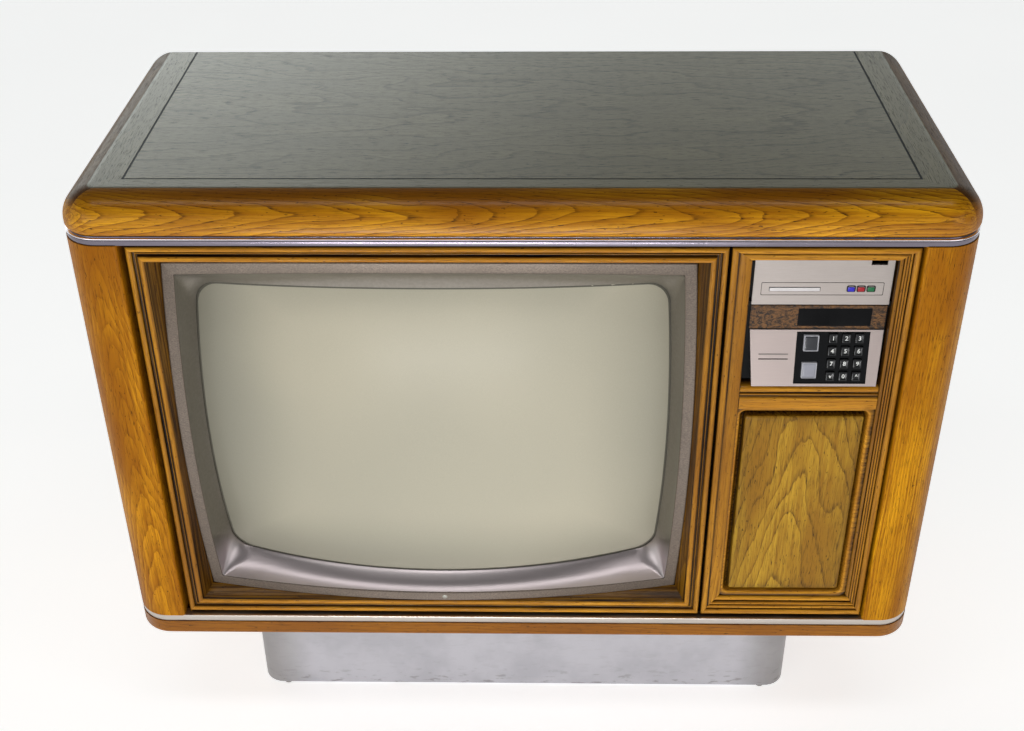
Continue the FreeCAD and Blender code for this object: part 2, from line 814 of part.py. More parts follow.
def control_frame():
    board = rounded_box("control_frame_block", ("control_frame_width", "control_frame_thick", "frame_tall"),
                        ("control_frame_left", FRAME_Y, FRAME_FOOT), [(front_face, "control_frame_round")])
    upper = box("module_hole", ("module_right - module_left", "control_frame_thick",
                                "module_head - module_foot + sill_tall"),
                ("module_left", FRAME_Y, f"{POST_FOOT} + module_foot - sill_tall"))
    lower = rounded_box("recess_hole", ("recess_right - recess_left", "recess_head - recess_foot",
                                        "control_frame_thick"),
                        ("recess_left", f"{FRAME_Y} + control_frame_thick", f"{POST_FOOT} + recess_foot"),
                        [(upright, "recess_corner")], X_AXIS, "90")
    sill = prism("sill", "YZ_Plane", [("sill_front", "0"), ("control_frame_thick", "0"),
                                      ("control_frame_thick", "sill_tall"), ("sill_top_front", "sill_tall")],
                 "module_right - module_left", ("module_left", FRAME_Y, f"{POST_FOOT} + module_foot - sill_tall"))
    return fuse("control_frame_body", [cut("control_frame_cut", board, [upper, lower]), sill])


def lower_panel():
    board = box("panel_board", ("recess_right - recess_left + 2 * panel_margin",
                                "baffle_setback - frame_setback - control_frame_thick",
                                "recess_head - recess_foot + 2 * panel_margin"),
                ("recess_left - panel_margin", f"{FRAME_Y} + control_frame_thick",
                 f"{POST_FOOT} + recess_foot - panel_margin"))
    raised = rounded_box("panel_raised", ("field_right - field_left",
                                          "frame_setback + control_frame_thick - field_setback",
                                          "field_head - field_foot"),
                         ("field_left", f"{FRONT} + field_setback", f"{POST_FOOT} + field_foot"),
                         [(front_face, "field_round")])
    return fuse("panel_body", [board, raised])


# ---------------------------------------------------------------- screen mask and picture tube

def mask_blank(shrink, back):
    """The space inside the moulding's slope, bowed forward in the middle, less a margin all round."""
    half_width = value("screen_frame_width / 2 - bead_width - mask_play") - shrink
    half_height = value("frame_tall / 2 - bead_width - mask_play") - shrink
    slope = value("slope_width")
    start = value("frame_setback + mask_slope_front")
    throat = value("frame_setback + mask_slope_back")
    mouth = (start, half_width, half_height, value("mask_corner"))
    inside = (half_width - slope, half_height - slope, value("mask_inner_corner"))
    taper = rounded_loft([mouth, (throat, *inside)])
    sleeve = rounded_loft([(throat, *inside), (back, *inside)])
    radius = value("mask_curve")
    axis_y = value(FRONT) + value("mask_front") + shrink + radius
    foot = FreeCAD.Vector(value(SCREEN_X), axis_y, value(SCREEN_Z) - half_height)
    drum = Part.makeCylinder(radius, 2 * half_height, foot)
    return taper.fuse(sleeve).removeSplitter().common(drum)


def mask_mouth(grow):
    """The funnel from the mask's rim back to the glass."""
    near = (value("mouth_front"), value("mouth_half_width") + grow, value("mouth_half_height") + grow,
            value("mouth_corner"))
    far = (value("mask_back + throat_past"), value("throat_half_width") + grow,
           value("throat_half_height") + grow, value("throat_corner"))
    return rounded_loft([near, far])


def glass_ball(offset):
    """The ball whose surface is the tube's face, grown by an offset."""
    radius = value("glass_curve")
    centre = FreeCAD.Vector(value(SCREEN_X), value(FRONT) + value("glass_front") + radius, value(SCREEN_Z))
    return Part.makeSphere(radius + offset, centre)


def screen_mask():
    wall = value("mask_wall")
    back = value("mask_back")
    skin = mask_blank(0, back).cut(mask_mouth(0))
    hollow = mask_blank(wall, back + OVERCUT).cut(mask_mouth(wall))
    return free_shape("mask_shape", skin.cut(hollow).cut(glass_ball(value("glass_gap"))))


def tube_sleeve(front, back, offset):
    half_width = value("tube_half_width") + offset
    half_height = value("tube_half_height") + offset
    corner = value("tube_corner") + offset
    return rounded_loft([(front, half_width, half_height, corner), (back, half_width, half_height, corner)])


def picture_tube_face():
    thick = value("glass_thick")
    back = value("panel_back")
    outer = tube_sleeve(value("glass_front"), back, 0).common(glass_ball(0))
    inner = tube_sleeve(value("glass_front"), back, -thick).common(glass_ball(-thick))
    return free_shape("face_shape", outer.cut(inner))


def funnel_solid(wall):
    half_width = value("tube_half_width")
    half_height = value("tube_half_height")
    neck = value("neck_radius") - wall
    stations = [(value("panel_back"), half_width, half_height, value("tube_corner"))] + FUNNEL_STATIONS
    sections = [(depth, width - wall, height - wall, corner - wall) for depth, width, height, corner in stations]
    sections.append((value("neck_start"), neck, neck, neck - 0.1))
    base = FreeCAD.Vector(value(SCREEN_X), value(FRONT) + value("neck_start"), value(SCREEN_Z))
    length = value("neck_end - neck_start") - wall
    pipe = Part.makeCylinder(neck, length, base, Y_AXIS)
    return rounded_loft(sections).fuse(pipe)


def picture_tube_funnel():
    return free_shape("funnel_shape", funnel_solid(0).cut(funnel_solid(value("funnel_wall"))))


def implosion_band():
    front = value("band_front")
    back = front + value("band_width")
    thick = value("band_thick")
    band = tube_sleeve(front, back, thick)
    reach_x = value("lug_x + lug_reach")
    reach_z = value("lug_z + lug_reach")
    strap = value("lug_side")
    for side in (-1, 1):
        for level in (-1, 1):
            near_x = value(SCREEN_X) + side * reach_x - (strap if side > 0 else 0)
            near_z = value(SCREEN_Z) + level * reach_z - (strap if level > 0 else 0)
            corner = FreeCAD.Vector(near_x, value(FRONT) + front, near_z)
            band = band.fuse(Part.makeBox(strap, thick, strap, corner))
    band = band.cut(tube_sleeve(front - OVERCUT, back + OVERCUT, 0))
    for x, z in bolt_spots():
        spot = FreeCAD.Vector(value(x), value(FRONT) + front, value(z))
        band = band.cut(Part.makeCylinder(value("bolt_radius"), thick, spot, Y_AXIS))
    return free_shape("band_shape", band.removeSplitter())


def electron_gun():
    cups = []
    for index, (setback, length, radius) in enumerate(GUN_CUPS):
        cups.append(rod(f"gun_cup_{index}", radius, length, (SCREEN_X, f"{NECK_END} - {setback}", SCREEN_Z), "y"))
    stem = rod("gun_stem", "gun_stem_radius", "gun_stem_long",
               (SCREEN_X, f"{NECK_END} - gun_setback", SCREEN_Z), "y")
    return fuse("gun", cups + [stem])


def deflection_yoke():
    return turned("yoke", YOKE_OUTLINE, (SCREEN_X, f"{FRONT} + yoke_front", SCREEN_Z), X_AXIS, "-90")


def neck_board():
    board = box("neck_card", ("neck_card_width", "card_thick", "neck_card_tall"),
                (f"{SCREEN_X} - neck_card_width / 2", f"{NECK_END} + neck_card_past",
                 f"{SCREEN_Z} - neck_card_tall / 2"))
    start = (SCREEN_X, f"{NECK_END} - socket_overlap", SCREEN_Z)
    socket = rod("neck_socket", "socket_radius", "socket_long", start, "y")
    hollow = rod("neck_socket_hollow", "neck_radius + socket_play", "socket_deep", start, "y")
    return fuse("neck_board_body", [board, cut("neck_socket_cup", socket, [hollow])])


def degaussing_coil():
    loop = rounded_loop(value("coil_front"), value("coil_half_width"), value("coil_half_height"),
                        value("coil_corner"))
    edges = loop.Edges[1:] + loop.Edges[:1]
    start = edges[0].FirstParameter
    ring = Part.Wire([Part.makeCircle(value("coil_radius"), edges[0].valueAt(start), edges[0].tangentAt(start))])
    return free_shape("coil_shape", Part.Wire(edges).makePipeShell([ring], True, False))


# ---------------------------------------------------------------- electronics

def chassis_frame():
    """A folded tray with a finned heat sink on its left."""
    base = box("chassis_base", ("chassis_width", "chassis_depth", "chassis_sheet"),
               ("chassis_left", CHASSIS_Y, BOARD_TOP))
    parts = [base]
    for name, shift in (("front", "0"), ("back", "chassis_depth - chassis_sheet")):
        parts.append(box(f"chassis_{name}", ("chassis_width", "chassis_sheet", "chassis_lip"),
                         ("chassis_left", f"{CHASSIS_Y} + {shift}", BOARD_TOP)))
    parts.append(box("chassis_heat_sink", ("sink_thick", "chassis_depth", "sink_tall"),
                     ("chassis_left - sink_thick", CHASSIS_Y, BOARD_TOP)))
    for index in range(FIN_COUNT):
        parts.append(box(f"chassis_fin_{index}", ("fin_long", "fin_thick", "sink_tall"),
                         ("chassis_left - sink_thick - fin_long",
                          f"{CHASSIS_Y} + fin_first + {index} * fin_pitch", BOARD_TOP)))
    return fuse("chassis_body", parts)


def card_pillars():
    pillars = []
    for side in (0, 1):
        for near in (0, 1):
            x = f"chassis_left + pillar_inset + {side} * (chassis_width - 2 * pillar_inset)"
            y = f"{CHASSIS_Y} + pillar_inset + {near} * (chassis_depth - 2 * pillar_inset)"
            pillars.append(rod(f"card_pillar_{side}_{near}", "pillar_radius", "card_height - chassis_sheet",
                               (x, y, f"{BOARD_TOP} + chassis_sheet")))
    return pillars


def main_board():
    """The card on its pillars, with two staggered rows of capacitors and of flat packages."""
    parts = [box("card", ("chassis_width - 2 * card_margin_x", "chassis_depth - 2 * card_margin_y", "card_thick"),
                 ("chassis_left + card_margin_x", f"{CHASSIS_Y} + card_margin_y", CARD_Z))]
    parts += card_pillars()
    for index in range(7):
        radius = 8 + 2 * (index % 2)
        tall = 22 + 9 * (index % 3)
        parts.append(rod(f"card_capacitor_{index}", radius, tall,
                         (f"chassis_left + {40 + 46 * index}", f"{CHASSIS_Y} + {38 + 22 * (index % 2)}", CARD_TOP)))
    for index in range(8):
        parts.append(box(f"card_package_{index}", (20, 8, 5),
                         (f"chassis_left + {30 + 30 * index}", f"{CHASSIS_Y} + {118 + 14 * (index % 2)}", CARD_TOP)))
    return fuse("main_board_body", parts)


def flyback_transformer():
    """A coil on one limb of a square core."""
    core = box("flyback_core", ("flyback_wide", "flyback_deep", "flyback_tall"),
               ("flyback_x", f"{CHASSIS_Y} + flyback_y", CARD_TOP))
    gap = box("flyback_gap", ("flyback_wide", "flyback_deep - 2 * flyback_limb", "flyback_tall - 2 * flyback_limb"),
              ("flyback_x", f"{CHASSIS_Y} + flyback_y + flyback_limb", f"{CARD_TOP} + flyback_limb"))
    coil = rod("flyback_coil", "flyback_coil_radius", "flyback_coil_tall",
               ("flyback_x + flyback_wide / 2", f"{CHASSIS_Y} + flyback_coil_y", f"{CARD_TOP} + flyback_coil_foot"))
    return fuse("flyback", [cut("flyback_yoke", core, [gap]), coil])


def tuner_module():
    """A screened can on the right side panel, with two sockets behind."""
    x = "case_width / 2 - side_thick - tuner_wide"
    y = f"{FRONT} + tuner_front"
    z = f"{POST_FOOT} + tuner_foot"
    block = box("tuner_block", ("tuner_wide", "tuner_deep", "tuner_tall"), (x, y, z))
    inside = box("tuner_inside", ("tuner_wide - tuner_wall", "tuner_deep - 2 * tuner_wall",
                                  "tuner_tall - 2 * tuner_wall"),
                 (f"{x} + tuner_wall", f"{y} + tuner_wall", f"{z} + tuner_wall"))
    parts = [cut("tuner_can", block, [inside])]
    for index in range(2):
        parts.append(rod(f"tuner_socket_{index}", "tuner_socket_radius", "tuner_socket_long",
                         (f"{x} + tuner_wide / 2", f"{y} + tuner_deep",
                          f"{z} + tuner_socket_first + {index} * tuner_socket_pitch"), "y"))
    return fuse("tuner", parts)


def speaker():
    return turned("speaker_driver", SPEAKER_OUTLINE, ("speaker_x", f"{FRONT} + speaker_y", BOARD_TOP))


# ---------------------------------------------------------------- back

def slot_bank(name, count, middle_x, z, y, depth):
    slots = []
    for index in range(count):
        x = f"{middle_x} + {index - (count - 1) / 2} * slot_pitch - slot_width / 2"
        slots.append(box(f"{name}_{index}", ("slot_width", depth, "slot_tall"), (x, y, z)))
    return slots


def back_cover():
    flange = box("cover_flange", ("case_width - 2 * cover_margin", "cover_thick",
                                "post_tall + upper_trim_tall - 2"),
                 (f"{LEFT} + cover_margin", BACK, f"{POST_FOOT} + 1"))
    deep = "(total_depth - case_depth)"
    near = ("bulge_half_width", "bulge_half_height")
    far = ("bulge_back_half_width", "bulge_back_half_height")
    bulge = wedge("cover_bulge", near, far, deep, (SCREEN_X, BACK, SCREEN_Z))
    hollow = wedge("cover_hollow", [half + " - cover_thick" for half in near],
                   [half + " - cover_thick" for half in far], f"{deep} - cover_thick", (SCREEN_X, BACK, SCREEN_Z))
    holes = [screw_shank(f"cover_hole_{index}", spot) for index, spot in enumerate(screw_spots())]
    bulge_back = f"{FRONT} + total_depth - cover_thick"
    slots = slot_bank("bulge_slot", 21, SCREEN_X, f"{SCREEN_Z} - slot_tall / 2", bulge_back, "cover_thick")
    slots += slot_bank("low_slot", 27, SCREEN_X, f"{POST_FOOT} + 6", BACK, "cover_thick")
    slots += slot_bank("side_slot", 9, "330", f"{POST_FOOT} + 90", BACK, "cover_thick")
    return cut("cover_body", fuse("cover_blank", [flange, bulge]), [hollow] + holes + slots)


def cabinet_screws():
    parts = []
    for index, spot in enumerate(screw_spots()):
        x, z = spot
        head = rod(f"screw_head_{index}", "screw_head", "screw_head_thick", (x, f"{BACK} + cover_thick", z), "y")
        parts.append(fuse(f"cover_screw_{index}", [screw_shank(f"screw_shank_{index}", spot), head]))
    for index, spot in enumerate(bolt_spots()):
        x, z = spot
        spacer = rod(f"spacer_{index}", "bolt_radius + spacer_wall", "band_front - baffle_setback - baffle_thick",
                     (x, f"{BAFFLE_Y} + baffle_thick", z), "y")
        nut = rod(f"nut_{index}", "bolt_radius + nut_wall", "nut_thick",
                  (x, f"{FRONT} + band_front + band_thick", z), "y")
        parts.append(fuse(f"tube_bolt_{index}", [tube_bolt(f"tube_stud_{index}", spot), spacer, nut]))
    return group("screws", parts)


def rear_terminals():
    """The aerial terminals on their plate, and the mains inlet with its two pins."""
    y = f"{BACK} + cover_thick"
    z = f"{POST_FOOT} + terminal_foot"
    parts = [box("terminal_plate", ("terminal_wide", "3", "terminal_tall"), ("terminal_left", y, z))]
    for index in range(4):
        parts.append(rod(f"terminal_screw_{index}", "4", "7",
                         (f"terminal_left + {15 + 22 * index}", y, f"{z} + terminal_tall / 3"), "y"))
    parts.append(rod("aerial_socket", "5", "14", ("terminal_left + 111", y, f"{z} + 38"), "y"))
    inlet_foot = f"{z} - inlet_drop"
    shroud = box("inlet_shroud", ("inlet_wide", "inlet_deep", "inlet_tall"), ("inlet_left", y, inlet_foot))
    mouth = box("inlet_mouth", ("inlet_wide - 2 * inlet_wall", "inlet_deep - inlet_wall",
                                "inlet_tall - 2 * inlet_wall"),
                ("inlet_left + inlet_wall", f"{y} + inlet_wall", f"{inlet_foot} + inlet_wall"))
    pins = [rod(f"inlet_pin_{index}", "1.5", "9",
                (f"inlet_left + {13 + 14 * index}", f"{y} + inlet_wall", f"{inlet_foot} + inlet_tall / 2"), "y")
            for index in range(2)]
    inlet = fuse("mains_inlet", [cut("inlet_cup", shroud, [mouth])] + pins)
    return group("terminals", [fuse("aerial_terminals", parts), inlet])


# ---------------------------------------------------------------- control module

def keypad_spot(x, deep, drop):
    """Where a point of the tilted keypad lies: across, behind its face, and down from its top edge."""
    y = f"{KEYPAD_Y} + ({deep}) * cos(keypad_tilt) - ({drop}) * sin(keypad_tilt)"
    z = f"{KEYPAD_Z} - ({deep}) * sin(keypad_tilt) - ({drop}) * cos(keypad_tilt)"
    return x, y, z


def keypad_box(name, middle_x, drop, width, tall, deep, thick):
    """A block square to the keypad, centred across and down on a spot of its face."""
    at = keypad_spot(f"{middle_x} - ({width}) / 2", deep, f"{drop} + ({tall}) / 2")
    return box(name, (width, thick, tall), at, X_AXIS, "-keypad_tilt")


def key_spots():
    """Each key's name with its middle across and down."""
    spots = {}
    for row, names in enumerate(KEYS):
        for column, name in enumerate(names):
            spots[name] = (KEY_FIRST_X + KEY_PITCH_X * column, KEY_FIRST_DROP + KEY_PITCH_Z * row)
    return spots


def housing_nose(name):
    """The wedge that carries the tilted keypad plate."""
    tall = "(keypad_head - module_foot - nose_lift)"
    lean = f"{tall} * tan(keypad_tilt)"
    rise = "keypad_thick / cos(keypad_tilt)"
    outline = [(f"{rise} - {lean}", f"-{tall}"), ("nose_back", f"-{tall}"), ("nose_back", "0"), (rise, "0")]
    return prism(name, "YZ_Plane", outline, "nose_wide", ("nose_left", KEYPAD_Y, KEYPAD_Z))


def housing_ears():
    """Two ears that hold the door's pins."""
    ears = []
    for name, x, thick in (("left", "door_left - key_play - ear_left_thick - 0.1", "ear_left_thick"),
                           ("right", "door_right + key_play", "ear_right_thick")):
        ears.append(box(f"ear_{name}", (thick, "ear_side", "ear_side"),
                        (x, f"{HINGE_Y} - 2.5", f"{HINGE_Z} - ear_side / 2")))
    return ears


def control_housing():
    foot = f"({POST_FOOT} + module_foot + housing_play + 0.5)"
    front = f"{FRONT} + housing_front"
    shell = box("housing_shell", ("module_right - module_left - 2 * housing_play", "housing_back - housing_front",
                                  f"{POST_FOOT} + module_head - housing_play - {foot}"),
                ("module_left + housing_play", front, foot))
    compartment = box("door_compartment", ("door_right - door_left - 4", "compartment_deep",
                                           "door_head - door_foot - 4"),
                      ("door_left + 2", front, f"{POST_FOOT} + door_foot + 2.5"))
    display_hole = box("display_hole", ("window_right - window_left + 2", "display_hole_deep",
                                        "window_head - window_foot + 2"),
                       ("window_left - 1", front, f"{POST_FOOT} + window_foot - 1"))
    keypad_hole = box("keypad_hole", ("well_right - well_left + 2 * keypad_hole_margin", "housing_back",
                                      "keypad_hole_tall"),
                      ("well_left - keypad_hole_margin", f"{FRONT} - 6", f"{foot} + 2.5"))
    shafts = [rod(f"shaft_hole_{index}", "shaft_radius + shaft_play", "8",
                  (x, f"{FRONT} + housing_back - 6", KNOB_Z), "y") for index, x in enumerate(KNOBS.values())]
    pin_hole = rod("pin_hole", "pin_radius + pin_play", "door_right - door_left + 8",
                   ("door_left - 4", HINGE_Y, HINGE_Z), "x")
    blank = fuse("housing_blank", [shell, housing_nose("housing_nose")] + housing_ears())
    return cut("housing_body", blank, [compartment, display_hole, keypad_hole, pin_hole] + shafts)


def control_door():
    """The flap with its finger notch and the two pins it turns on."""
    leaf = box("door_leaf", ("door_right - door_left", "door_thick", "door_head - door_foot"),
               ("door_left", f"{FRONT} + door_front", f"{POST_FOOT} + door_foot"))
    notch = box("door_notch", ("notch_wide", "door_thick", "notch_tall"),
                ("door_right - notch_inset", f"{FRONT} + door_front", f"{POST_FOOT} + door_head - notch_tall"))
    left_pin = rod("door_pin_left", "pin_radius", "pin_left_long",
                   ("door_left - pin_left_long", HINGE_Y, HINGE_Z), "x")
    right_pin = rod("door_pin_right", "pin_radius", "pin_right_long", ("door_right", HINGE_Y, HINGE_Z), "x")
    return fuse("door_body", [cut("door_notched", leaf, [notch]), left_pin, right_pin])


def display_fascia():
    y = f"{FRONT} + strip_front"
    strip = box("strip", ("door_right - door_left - 1", "strip_thick", "strip_head - strip_foot"),
                ("door_left + 0.5", y, f"{POST_FOOT} + strip_foot"))
    hole = box("strip_hole", ("window_right - window_left", "strip_thick", "window_head - window_foot"),
               ("window_left", y, f"{POST_FOOT} + window_foot"))
    return cut("strip_body", strip, [hole])


def display_window():
    return box("window_pane", ("window_right - window_left", "strip_thick", "window_head - window_foot"),
               ("window_left", f"{FRONT} + strip_front", f"{POST_FOOT} + window_foot"))


def keypad_fascia():
    plate = prism("fascia_plate", "XZ_Plane", KEYPAD_OUTLINE, "keypad_thick", ("0", KEYPAD_Y, KEYPAD_Z),
                  X_AXIS, "-keypad_tilt", reverse=True)
    well = keypad_box("well", "(well_left + well_right) / 2", "(well_top + well_foot) / 2",
                      "well_right - well_left", "well_foot - well_top", "0", "well_depth")
    holes = [well]
    for name, (x, drop) in key_spots().items():
        holes.append(keypad_box(name + "_hole", x, drop, "key_width + 2 * key_play", "key_height + 2 * key_play",
                                "0", "keypad_thick"))
    for name, drop in BUTTON_DROPS.items():
        holes.append(keypad_box(name + "_hole", "button_x", drop, "button_width + 2 * key_play",
                                "button_height + 2 * key_play", "0", "keypad_thick"))
    return cut("fascia_body", plate, holes)


def push_key(name, x, drop, width, height):
    """A key's cap and the wider skirt behind the fascia that keeps it in."""
    cap = keypad_box(name + "_cap", x, drop, width, height, "-key_proud", "key_proud + keypad_thick + cap_past")
    skirt = keypad_box(name + "_skirt", x, drop, f"{width} + skirt_wide", f"{height} + skirt_high",
                       "keypad_thick + cap_past - skirt_thick", "skirt_thick")
    return fuse(name + "_body", [cap, skirt])


def control_board():
    """The key card behind the keypad, and the card that carries the three potentiometers."""
    card = keypad_box("keypad_card", "(well_left + well_right) / 2", "(well_top + well_foot) / 2",
                      "well_right - well_left + 8", "keypad_card_tall", "keypad_thick + keypad_card_deep",
                      "card_thick")
    pot_y = f"{FRONT} + housing_back"
    shaft_front = f"{FRONT} + knob_front + 4"
    parts = [box("pot_card", ("pot_card_wide", "card_thick", "pot_card_tall"),
                 ("nose_left", f"{pot_y} + pot_thick", f"{KNOB_Z} - pot_card_tall / 2"))]
    for index, x in enumerate(KNOBS.values()):
        parts.append(rod(f"pot_shaft_{index}", "shaft_radius", f"{pot_y} + pot_thick - ({shaft_front})",
                         (x, shaft_front, KNOB_Z), "y"))
        parts.append(rod(f"pot_body_{index}", "pot_radius", "pot_thick", (x, pot_y, KNOB_Z), "y"))
    return group("control_cards", [card, fuse("pot_board", parts)])


def knob(name, x):
    """A round knob with a pointer rib, turning about y."""
    front = f"{FRONT} + knob_front"
    dial = cone(name + "_dial", "knob_radius - 1", "knob_radius", "knob_deep", (x, front, KNOB_Z), "y")
    rib = box(name + "_rib", ("2", "1.2", "knob_radius - 2"), (f"{x} - 1", f"{front} - 1", KNOB_Z))
    bore = rod(name + "_bore", "shaft_radius + 0.05", "knob_deep", (x, f"{front} + 3.9", KNOB_Z), "y")
    return cut(name + "_body", fuse(name + "_solid", [dial, rib]), [bore])


# ---------------------------------------------------------------- assembly

def build():
    """Make every sub-part: node name and object."""
    spots = screw_spots()
    slab = top_slab()
    pieces = {
        "pedestal_shell": pedestal_shell(),
        "pedestal_board": pedestal_board(),
        "floor_glides": floor_glides(),
        "swivel_lower_plate": swivel_lower_plate(),
        "swivel_balls": swivel_balls(),
        "swivel_upper_plate": swivel_upper_plate(),
        "bottom_board": bottom_board(),
        "lower_trim": trim_strip("lower_trim", BOARD_TOP, "lower_trim_tall"),
        "upper_trim": trim_strip("upper_trim", POST_HEAD, "upper_trim_tall"),
        "side_panel_left": side_panel("left", LEFT, spots[:5]),
        "side_panel_right": side_panel("right", "case_width / 2 - side_thick", spots[5:]),
        "corner_post_left": corner_post("post_left", -1),
        "corner_post_right": corner_post("post_right", 1),
        "top_rail_front": top_rail_front(slab),
        "top_rail_left": top_rail_side("left_rail", slab, -1),
        "top_rail_right": top_rail_side("right_rail", slab, 1),
        "top_field": top_field(),
        "front_baffle": front_baffle(),
        "screen_moulding": screen_moulding(),
        "control_frame": control_frame(),
        "lower_panel": lower_panel(),
        "screen_mask": screen_mask(),
        "picture_tube_face": picture_tube_face(),
        "picture_tube_funnel": picture_tube_funnel(),
        "implosion_band": implosion_band(),
        "electron_gun": electron_gun(),
        "deflection_yoke": deflection_yoke(),
        "neck_board": neck_board(),
        "degaussing_coil": degaussing_coil(),
        "chassis_frame": chassis_frame(),
        "main_board": main_board(),
        "flyback_transformer": flyback_transformer(),
        "tuner_module": tuner_module(),
        "speaker": speaker(),
        "back_cover": back_cover(),
        "cabinet_screws": cabinet_screws(),
        "rear_terminals": rear_terminals(),
        "control_housing": control_housing(),
        "control_door": control_door(),
        "display_fascia": display_fascia(),
        "display_window": display_window(),
        "keypad_fascia": keypad_fascia(),
        "control_board": control_board(),
    }
    for name, (x, drop) in key_spots().items():
        pieces[name] = push_key(name, x, drop, "key_width", "key_height")
    for name, drop in BUTTON_DROPS.items():
        pieces[name] = push_key(name, "button_x", drop, "button_width", "button_height")
    for name, x in KNOBS.items():
        pieces[name] = knob(name, x)
    return pieces


def check(pieces):
    """Stop at the first object that failed or has no sound shape."""
    for item in doc.Objects:
        if {"Invalid", "Error"} & set(item.State):
            raise RuntimeError(f"{item.Name} failed: {item.State}")
    for name, piece in pieces.items():
        if piece.Shape.isNull() or not piece.Shape.isValid() or not piece.Shape.Solids:
            raise RuntimeError(f"{name} has no sound shape")


def main():
    pieces = build()
    doc.recompute()
    for name, piece in pieces.items():
        piece.Label = name
    check(pieces)
    os.makedirs("parts", exist_ok=True)
    for name, piece in pieces.items():
        piece.Shape.exportStep(f"parts/{name}.step")
        print(f"{name}: {len(piece.Shape.Solids)} solids, {piece.Shape.Volume / 1000:.1f} cm3")


main()
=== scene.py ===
import math

import bmesh
import bpy
from mathutils import Matrix, Vector


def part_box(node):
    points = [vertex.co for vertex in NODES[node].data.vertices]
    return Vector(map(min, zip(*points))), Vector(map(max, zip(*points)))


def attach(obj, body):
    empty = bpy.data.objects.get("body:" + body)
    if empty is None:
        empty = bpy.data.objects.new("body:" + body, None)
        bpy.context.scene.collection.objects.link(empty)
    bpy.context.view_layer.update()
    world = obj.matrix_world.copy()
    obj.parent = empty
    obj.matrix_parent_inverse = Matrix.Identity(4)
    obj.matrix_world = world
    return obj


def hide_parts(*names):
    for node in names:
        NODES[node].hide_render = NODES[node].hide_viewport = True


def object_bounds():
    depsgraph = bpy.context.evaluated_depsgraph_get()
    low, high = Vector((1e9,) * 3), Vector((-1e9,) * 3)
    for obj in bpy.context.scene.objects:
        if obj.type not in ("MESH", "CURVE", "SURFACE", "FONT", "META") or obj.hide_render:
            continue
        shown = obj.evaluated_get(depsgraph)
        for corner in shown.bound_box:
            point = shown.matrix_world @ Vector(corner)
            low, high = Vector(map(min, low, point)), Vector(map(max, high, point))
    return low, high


# A console television: finishes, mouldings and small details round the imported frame.
# Shapes are worked out in millimetres from the frame's boxes and scaled to metres when built.

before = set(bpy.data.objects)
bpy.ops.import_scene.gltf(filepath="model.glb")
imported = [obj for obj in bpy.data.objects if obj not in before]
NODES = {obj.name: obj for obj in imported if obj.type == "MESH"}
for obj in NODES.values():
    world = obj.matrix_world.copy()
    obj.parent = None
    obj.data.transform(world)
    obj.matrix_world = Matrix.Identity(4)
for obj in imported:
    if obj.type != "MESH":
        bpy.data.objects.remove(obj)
cad_low, cad_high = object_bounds()
MM = 0.001


def box_mm(node):
    """A node's low and high corners in millimetres."""
    low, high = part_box(node)
    return low / MM, high / MM


FRONT = cad_low.y / MM
SCREEN_LOW, SCREEN_HIGH = box_mm("screen_moulding")
SCREEN_MID = (SCREEN_LOW + SCREEN_HIGH) / 2
CONTROL_LOW, CONTROL_HIGH = box_mm("control_frame")
TOP = box_mm("top_rail_front")[1].z


# ---- colours

def channel(level):
    """One channel of a screen colour, 0 to 255, as the light it stands for."""
    share = level / 255
    if share <= 0.04045:
        return share / 12.92
    return ((share + 0.055) / 1.055) ** 2.4


def colour(red, green, blue):
    return (channel(red), channel(green), channel(blue), 1.0)


def tinted(base, gain, lift=0.0):
    return tuple(min(1.0, part * gain + lift) for part in base[:3]) + (1.0,)


def stain(*tints):
    """A wood's four colours, from its palest ground to the bottom of its pores."""
    return {part: colour(*tint) for part, tint in zip(("light", "middle", "dark", "pore"), tints)}


HONEY = stain((230, 163, 23), (160, 97, 9), (58, 29, 5), (38, 18, 4))
AMBER = stain((214, 146, 24), (152, 90, 9), (62, 32, 6), (38, 18, 4))
# This palette is a painted reflection: the grey-green of bright surroundings seen in the top's lacquer.
PAINTED_REFLECTION = stain((115, 106, 74), (100, 92, 64), (42, 38, 27), (20, 18, 13))
GOLDEN = stain((222, 158, 44), (172, 111, 25), (66, 34, 9), (24, 12, 5))
UMBER = stain((204, 142, 36), (152, 98, 21), (58, 30, 8), (22, 11, 4))
OLIVE = stain((204, 160, 46), (150, 105, 24), (54, 32, 8), (34, 20, 8))
EDGE = stain((166, 106, 26), (138, 82, 18), (60, 32, 8), (30, 16, 6))
CRATE = stain((150, 122, 84), (128, 100, 66), (84, 62, 38), (50, 36, 22))


# ---- materials

class NodeTree:
    """A node tree, with a short call for each kind of node that both the finishes and the sky use."""

    def __init__(self, tree):
        self.nodes = tree.nodes
        self.links = tree.links

    def feed(self, socket, value):
        if isinstance(value, bpy.types.NodeSocket):
            self.links.new(value, socket)
        else:
            socket.default_value = value

    def node(self, kind, inputs=None, **settings):
        made = self.nodes.new(kind)
        for key, value in settings.items():
            setattr(made, key, value)
        for socket, value in (inputs or {}).items():
            self.feed(made.inputs[socket], value)
        return made

    def math(self, operation, *values, clamp=False):
        made = self.node("ShaderNodeMath", dict(enumerate(values)), operation=operation, use_clamp=clamp)
        return made.outputs[0]

    def times(self, first, second, clamp=False):
        return self.math("MULTIPLY", first, second, clamp=clamp)

    def less(self, first, second):
        return self.math("SUBTRACT", first, second)

    def linear(self, value, gain, offset, clamp=False):
        """The value times the gain, plus the offset."""
        return self.math("MULTIPLY_ADD", value, gain, offset, clamp=clamp)

    def ramp(self, value, low, high, start=0.0, end=1.0):
        """A smooth step from start to end as the value goes from low to high."""
        sockets = {"Value": value, "From Min": low, "From Max": high, "To Min": start, "To Max": end}
        return self.node("ShaderNodeMapRange", sockets, interpolation_type="SMOOTHSTEP").outputs[0]


